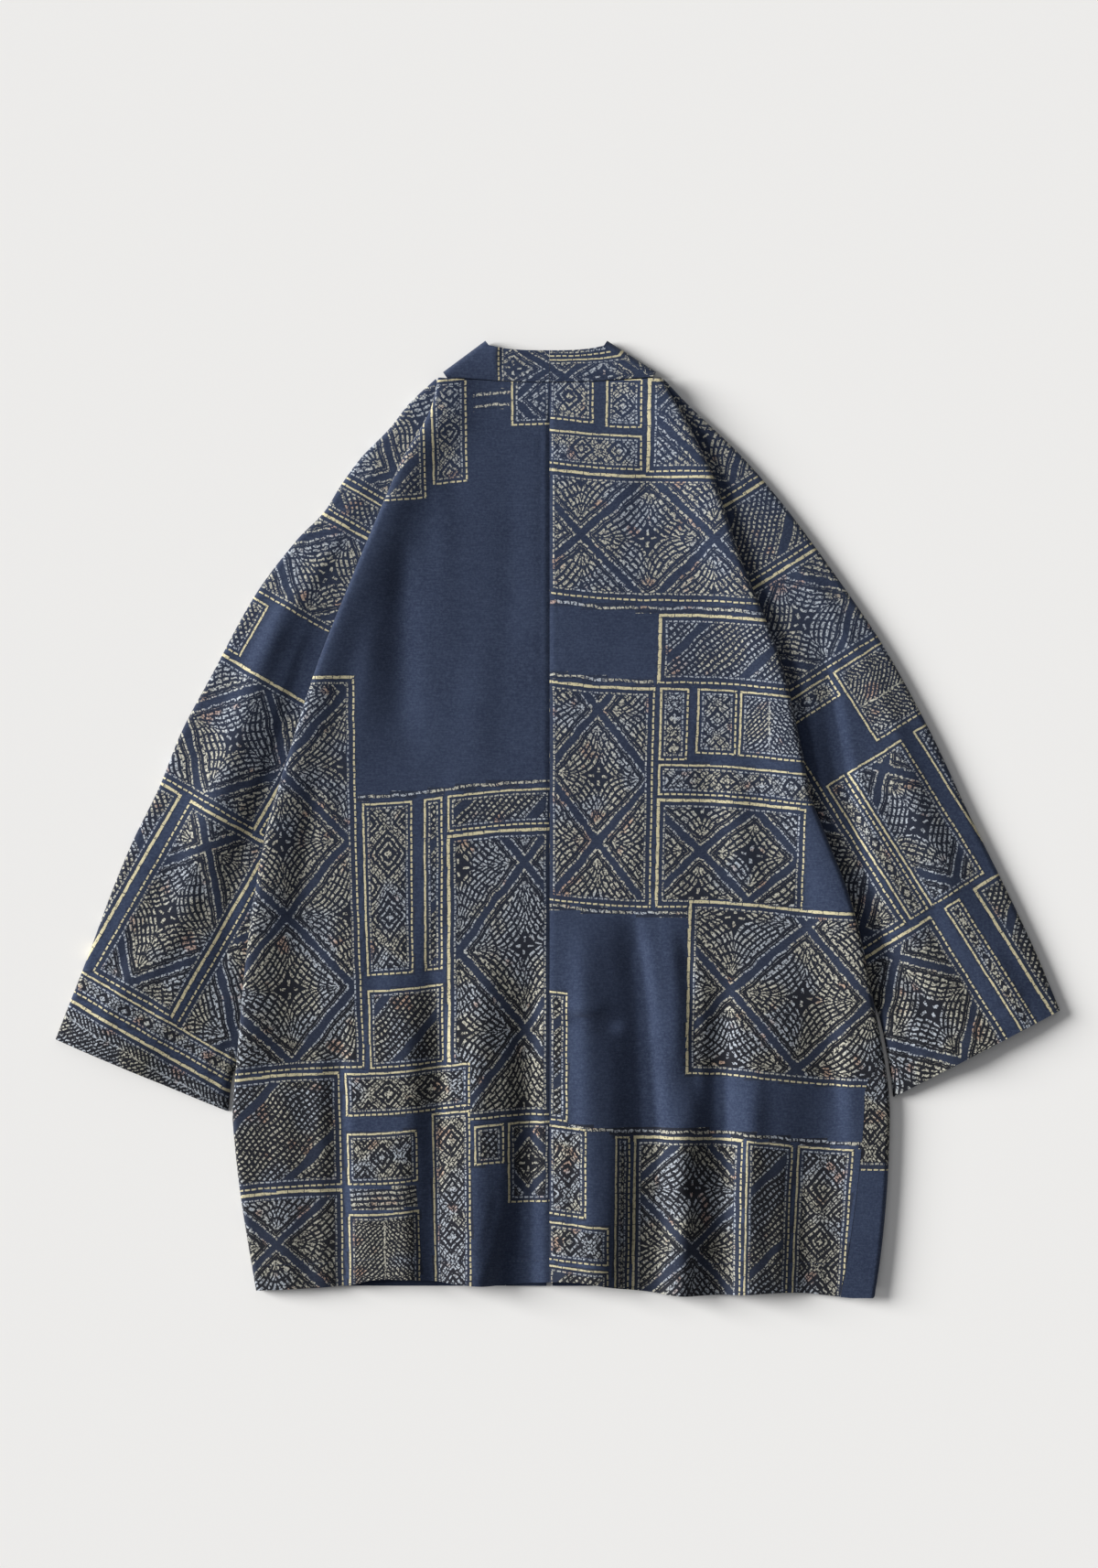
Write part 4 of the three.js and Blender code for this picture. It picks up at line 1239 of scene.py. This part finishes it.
def surface(colour, relief, roughness, strength, depth):
    """Joins a shader of threads, which stand up by a depth, to the material's output."""
    bump = Field.node("ShaderNodeBump", None, Strength=strength, Distance=depth, Height=relief)
    shader = Field.node("ShaderNodeBsdfPrincipled", None, Base_Color=colour, Roughness=roughness,
                        Normal=Field(bump.outputs[0]))
    output = Field.tree.nodes.new("ShaderNodeOutputMaterial")
    Field.tree.links.new(shader.outputs[0], output.inputs[0])
    return shader


def cotton(name, motif, settings):
    """Plain-woven indigo cotton with one kind of print or, where motif is None, its darker reverse."""
    material, place = begin(name)
    base, threads = woven(place, settings)
    pitch = settings.weave_pitch
    x, y, _ = split(place)
    warp = Field.maths("SINE", x * (2 * math.pi / pitch))
    weft = Field.maths("SINE", y * (2 * math.pi / pitch))
    relief = warp * weft * 0.5 + threads
    if motif is None:
        shade = [REVERSE_SHADE * part for part in settings.indigo_deep]
        base = blend_colour(REVERSE_SHARE, base, colour_input(shade))
    elif PRINTS[motif] is not None:
        base, mark = print_over(base, place, motif, settings)
        relief = relief + mark * 0.5
    shader = surface(base, relief, roughness=0.9, strength=0.42, depth=0.0005)
    shader.inputs["Sheen Weight"].default_value = 0.12
    shader.inputs["Sheen Roughness"].default_value = 0.5
    shader.inputs["Specular IOR Level"].default_value = 0.18
    return material


def thread_material(settings):
    material, place = begin("hem thread")
    twist = noise(place, "twist")
    colour = blend_colour(twist, colour_input(settings.indigo_deep), colour_input(settings.thread))
    surface(colour, twist, roughness=0.7, strength=0.4, depth=0.0002)
    return material


def cloth_materials(settings):
    """One material for each kind of print and, last, one for the reverse of the cloth."""
    kinds = list(enumerate(PRINT_NAMES)) + [(None, "reverse")]
    names = [(motif, f"indigo cotton, {word}") for motif, word in kinds]
    return [bpy.data.materials.get(name) or cotton(name, motif, settings) for motif, name in names]


# Settings

def number_setting(name, description, default, **kind):
    return bpy.props.FloatProperty(name=name, description=description, default=default, **kind)


def length_setting(name, description, default):
    return number_setting(name, description, default, unit="LENGTH")


def angle_setting(name, description, degrees):
    return number_setting(name, description, math.radians(degrees), subtype="ANGLE")


def colour_setting(name, description, *default):
    return bpy.props.FloatVectorProperty(
        name=name, description=description, default=default, subtype="COLOR")


class ShirtSettings(bpy.types.PropertyGroup):
    """Sizes and colours of the shirt's cloth."""

    cloth: length_setting("Cloth", "Thickness of the cloth", 0.0009)
    collar_cloth: length_setting("Collar", "Thickness of the doubled collar", 0.002)
    step: length_setting("Grid", "Distance between rows of the cloth's mesh", 0.003)
    weave_pitch: length_setting("Weave", "Distance between threads", 0.0011)
    stitch: length_setting("Stitch", "Distance between the hem's stitches", STITCH_PITCH)
    print_strength: number_setting("Print", "How much the print covers the cloth", 0.86, subtype="FACTOR")
    indigo_deep: colour_setting("Deep indigo", "Darkest colour of the cloth", 0.014, 0.022, 0.050)
    indigo_faded: colour_setting("Faded indigo", "Colour where the cloth has faded", 0.025, 0.037, 0.074)
    indigo_light: colour_setting("Light threads", "Colour of the palest threads", 0.056, 0.077, 0.128)
    print_cream: colour_setting("Cream", "Warm colour of the print", 0.66, 0.59, 0.37)
    print_rust: colour_setting("Rust", "Colour of the print's few reddish places", 0.52, 0.30, 0.20)
    # The print's dark ground, made near black and neutral in part as painted fold shade
    indigo_ground: colour_setting("Ground", "Colour between the print's strokes", 0.010, 0.011, 0.016)
    print_grey: colour_setting("Grey white", "Cool colour of the print", 0.49, 0.53, 0.58)
    thread: colour_setting("Thread", "Colour of the hem's thread", 0.050, 0.064, 0.110)


class StageSettings(bpy.types.PropertyGroup):
    """Floor, light and camera."""

    floor: colour_setting("Floor", "Colour of the floor", 0.82, 0.81, 0.79)
    lens: number_setting("Lens", "Focal length of the camera in millimetres", 110.55)
    camera_height: length_setting("Camera", "Height of the camera", 4.0)
    key_light: number_setting("Key light", "Strength of the low light from the left", 6.25)
    key_softness: angle_setting("Key softness", "Angle that the low light fills", 30)
    fill_light: number_setting("Fill light", "Strength of the light from above", 0.25)
    fill_softness: angle_setting("Fill softness", "Angle that the light from above fills", 60)
    room: number_setting("Room", "Strength of the light from all round", 0.19)


def sew(piece, name):
    """Hangs a piece of cloth on what it rides on, and hides the part of the model that it stands for."""
    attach(piece, BODY)
    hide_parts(name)


# Stage, in metres: size and height of the floor, place of the camera, and where the lights come from
FLOOR_REACH = 30.0
FLOOR_LEVEL = -0.0004
CAMERA_X = -0.00646
CAMERA_Y = 0.02964
KEY_FROM = (-2.3, 0.55, 1.0)
FILL_FROM = (-0.4, 0.8, 2.6)
ROOM_TINT = (0.93, 0.95, 1.0, 1.0)


class SHIRT_OT_stage(bpy.types.Operator):
    """Make the floor, the soft light and the camera straight above"""

    bl_idname = "shirt.stage"
    bl_label = "Stage"

    def execute(self, context):
        stage = context.scene.shirt_stage
        scene = context.scene
        scene.view_settings.view_transform = "Standard"
        mesh = bpy.data.meshes.new("floor")
        ways = ((-1, -1), (1, -1), (1, 1), (-1, 1))
        corners = [(FLOOR_REACH * across, FLOOR_REACH * up, FLOOR_LEVEL) for across, up in ways]
        mesh.from_pydata(corners, [], [(0, 1, 2, 3)])
        floor = bpy.data.objects.new("floor", mesh)
        scene.collection.objects.link(floor)
        material = bpy.data.materials.new("pale floor")
        material.use_nodes = True
        shader = material.node_tree.nodes["Principled BSDF"]
        shader.inputs["Base Color"].default_value = colour_input(stage.floor)
        shader.inputs["Roughness"].default_value = 1.0
        shader.inputs["Specular IOR Level"].default_value = 0.0
        mesh.materials.append(material)
        camera_data = bpy.data.cameras.new("camera above")
        camera_data.sensor_fit = "VERTICAL"
        camera_data.sensor_height = 36.0
        camera_data.lens = stage.lens
        camera_data.clip_end = 100.0
        camera = bpy.data.objects.new("camera above", camera_data)
        camera.location = (CAMERA_X, CAMERA_Y, stage.camera_height)
        scene.collection.objects.link(camera)
        scene.camera = camera
        lights = (
            ("low light from the left", KEY_FROM, stage.key_light, stage.key_softness),
            ("light from above", FILL_FROM, stage.fill_light, stage.fill_softness),
        )
        for name, place, strength, softness in lights:
            data = bpy.data.lights.new(name, "SUN")
            data.energy = strength
            data.angle = softness
            light = bpy.data.objects.new(name, data)
            light.location = place
            towards = -light.location
            light.rotation_euler = towards.to_track_quat("-Z", "Y").to_euler()
            scene.collection.objects.link(light)
        world = bpy.data.worlds.new("soft room")
        world.use_nodes = True
        sky = world.node_tree.nodes["Background"]
        sky.inputs["Color"].default_value = ROOM_TINT
        sky.inputs["Strength"].default_value = stage.room
        scene.world = world
        return {"FINISHED"}


def make_pair(settings, part, grid_of, blocks, turned_over, thickness):
    """Makes the left and the right piece of one part of the shirt. One of them comes out of its grid
    with its inside up, and is turned over."""
    for side in SIDES:
        name = part + "_" + side["word"]
        grid, placed = grid_of(side, settings.step / MM)
        piece = shell(name + "_cloth", grid, thickness / MM, cloth_materials(settings), placed,
                      blocks[side["word"]], turned_over=side is turned_over)
        sew(piece, name)


class SHIRT_OT_backs(bpy.types.Operator):
    """Make both back panels with their folds, creases, centre seam and print"""

    bl_idname = "shirt.backs"
    bl_label = "Backs"

    def execute(self, context):
        settings = context.scene.shirt_cloth
        make_pair(settings, "back", back_grid, BACK_BLOCKS, LEFT, settings.cloth)
        return {"FINISHED"}


class SHIRT_OT_fronts(bpy.types.Operator):
    """Make both front panels, which lie under the back"""

    bl_idname = "shirt.fronts"
    bl_label = "Fronts"

    def execute(self, context):
        settings = context.scene.shirt_cloth
        make_pair(settings, "front", front_grid, FRONT_BLOCKS, RIGHT, settings.cloth)
        return {"FINISHED"}


class SHIRT_OT_sleeves(bpy.types.Operator):
    """Make both sleeves, each folded along its outer edge, with the print turned along it"""

    bl_idname = "shirt.sleeves"
    bl_label = "Sleeves"

    def execute(self, context):
        settings = context.scene.shirt_cloth
        make_pair(settings, "sleeve", sleeve_grid, SLEEVE_BLOCKS, RIGHT, settings.cloth)
        return {"FINISHED"}


class SHIRT_OT_collar(bpy.types.Operator):
    """Make both halves of the band collar"""

    bl_idname = "shirt.collar"
    bl_label = "Collar"

    def execute(self, context):
        settings = context.scene.shirt_cloth
        make_pair(settings, "collar", collar_grid, COLLAR_BLOCKS, RIGHT, settings.collar_cloth)
        return {"FINISHED"}


def stitch_tree(material):
    """Geometry Nodes that set a short stitch at even steps along a line."""
    tree = bpy.data.node_groups.new("stitches along a line", "GeometryNodeTree")
    face = tree.interface
    face.new_socket("Geometry", in_out="INPUT", socket_type="NodeSocketGeometry")
    for name, value in (("Pitch", STITCH_PITCH), ("Stitch length", STITCH_LENGTH), ("Thread", STITCH_THREAD)):
        face.new_socket(name, in_out="INPUT", socket_type="NodeSocketFloat").default_value = value
    face.new_socket("Geometry", in_out="OUTPUT", socket_type="NodeSocketGeometry")
    entry = tree.nodes.new("NodeGroupInput")
    leave = tree.nodes.new("NodeGroupOutput")
    curve = tree.nodes.new("GeometryNodeMeshToCurve")
    spaced = tree.nodes.new("GeometryNodeResampleCurve")
    spaced.mode = "LENGTH"
    stitch = tree.nodes.new("GeometryNodeMeshUVSphere")
    stitch.inputs["Segments"].default_value = 6
    stitch.inputs["Rings"].default_value = 4
    stitch.inputs["Radius"].default_value = 0.5
    size = tree.nodes.new("ShaderNodeCombineXYZ")
    align = tree.nodes.new("FunctionNodeAlignRotationToVector")
    align.axis = "X"
    tangent = tree.nodes.new("GeometryNodeInputTangent")
    place = tree.nodes.new("GeometryNodeInstanceOnPoints")
    real = tree.nodes.new("GeometryNodeRealizeInstances")
    finish = tree.nodes.new("GeometryNodeSetMaterial")
    finish.inputs["Material"].default_value = material
    joints = (
        (entry, "Geometry", curve, "Mesh"), (curve, "Curve", spaced, "Curve"),
        (entry, "Pitch", spaced, "Length"), (spaced, "Curve", place, "Points"),
        (stitch, "Mesh", place, "Instance"), (tangent, "Tangent", align, "Vector"),
        (align, "Rotation", place, "Rotation"), (entry, "Stitch length", size, "X"),
        (entry, "Thread", size, "Y"), (entry, "Thread", size, "Z"), (size, "Vector", place, "Scale"),
        (place, "Instances", real, "Geometry"), (real, "Geometry", finish, "Geometry"),
        (finish, "Geometry", leave, "Geometry"),
    )
    for giver, output, taker, entrance in joints:
        tree.links.new(giver.outputs[output], taker.inputs[entrance])
    return tree


def stitched(name, lines, tree, pitch):
    """Runs stitches along lines of points in millimetres and returns them as one plain mesh."""
    points, edges = [], []
    for line in lines:
        first = len(points)
        points += [tuple(MM * c for c in point) for point in line]
        edges += [(first + k, first + k + 1) for k in range(len(line) - 1)]
    mesh = bpy.data.meshes.new(name)
    mesh.from_pydata(points, edges, [])
    source = bpy.data.objects.new(name, mesh)
    bpy.context.scene.collection.objects.link(source)
    modifier = source.modifiers.new("stitches", "NODES")
    modifier.node_group = tree
    sockets = {item.name: item.identifier for item in tree.interface.items_tree if item.in_out == "INPUT"}
    modifier[sockets["Pitch"]] = pitch
    bpy.context.view_layer.update()
    evaluated = source.evaluated_get(bpy.context.evaluated_depsgraph_get())
    made = bpy.data.meshes.new_from_object(evaluated)
    source.modifiers.remove(modifier)
    source.data = made
    made.name = name
    return source


def hem_line(side, thickness):
    """The line of stitches above the hem, just over the cloth."""
    grid, _ = back_grid(side, STITCH_ROW_STEP)
    stitch_y = HEM_Y + STITCHES_UP
    row = grid[int(np.argmin(np.abs(grid[:, :, 1].mean(axis=1) - stitch_y)))]
    out = side["sign"] * (row[:, 0] - CENTRE_BACK)
    on_flat = (out > CLEAR_OF_SEAM) & (out < side_at(side, stitch_y)["turn"] - CLEAR_OF_FOLD)
    line = row[on_flat & (row[:, 2] > UPPER_FROM)]
    line[:, 2] += thickness / 2 + STITCH_LIFT
    return line


class SHIRT_OT_stitches(bpy.types.Operator):
    """Run the line of stitches that holds up the hem"""

    bl_idname = "shirt.stitches"
    bl_label = "Hem stitches"

    def execute(self, context):
        settings = context.scene.shirt_cloth
        tree = stitch_tree(thread_material(settings))
        lines = [hem_line(side, settings.cloth / MM) for side in SIDES]
        piece = stitched("hem_stitches", lines, tree, settings.stitch)
        if len(piece.data.polygons) == 0:
            raise RuntimeError("the hem has no stitches")
        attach(piece, BODY)
        return {"FINISHED"}


class SHIRT_PT_panel(bpy.types.Panel):
    """Kimono shirt"""

    bl_idname = "SHIRT_PT_panel"
    bl_label = "Kimono Shirt"
    bl_space_type = "VIEW_3D"
    bl_region_type = "UI"
    bl_category = "Kimono Shirt"

    def draw(self, context):
        layout = self.layout
        for group in (context.scene.shirt_cloth, context.scene.shirt_stage):
            for key in group.bl_rna.properties.keys():
                if key not in ("rna_type", "name"):
                    layout.prop(group, key)
        for step in STEPS:
            layout.operator(step.bl_idname)


STEPS = (
    SHIRT_OT_stage, SHIRT_OT_fronts, SHIRT_OT_sleeves, SHIRT_OT_backs, SHIRT_OT_collar, SHIRT_OT_stitches,
)
CLASSES = (ShirtSettings, StageSettings) + STEPS + (SHIRT_PT_panel,)


def register():
    for item in CLASSES:
        bpy.utils.register_class(item)
    bpy.types.Scene.shirt_cloth = bpy.props.PointerProperty(type=ShirtSettings)
    bpy.types.Scene.shirt_stage = bpy.props.PointerProperty(type=StageSettings)


def unregister():
    del bpy.types.Scene.shirt_stage
    del bpy.types.Scene.shirt_cloth
    for item in reversed(CLASSES):
        bpy.utils.unregister_class(item)


def main():
    register()
    bpy.ops.shirt.stage()
    bpy.ops.shirt.fronts()
    bpy.ops.shirt.sleeves()
    bpy.ops.shirt.backs()
    bpy.ops.shirt.collar()
    bpy.ops.shirt.stitches()
    bpy.context.view_layer.update()


if __name__ == "__main__":
    main()
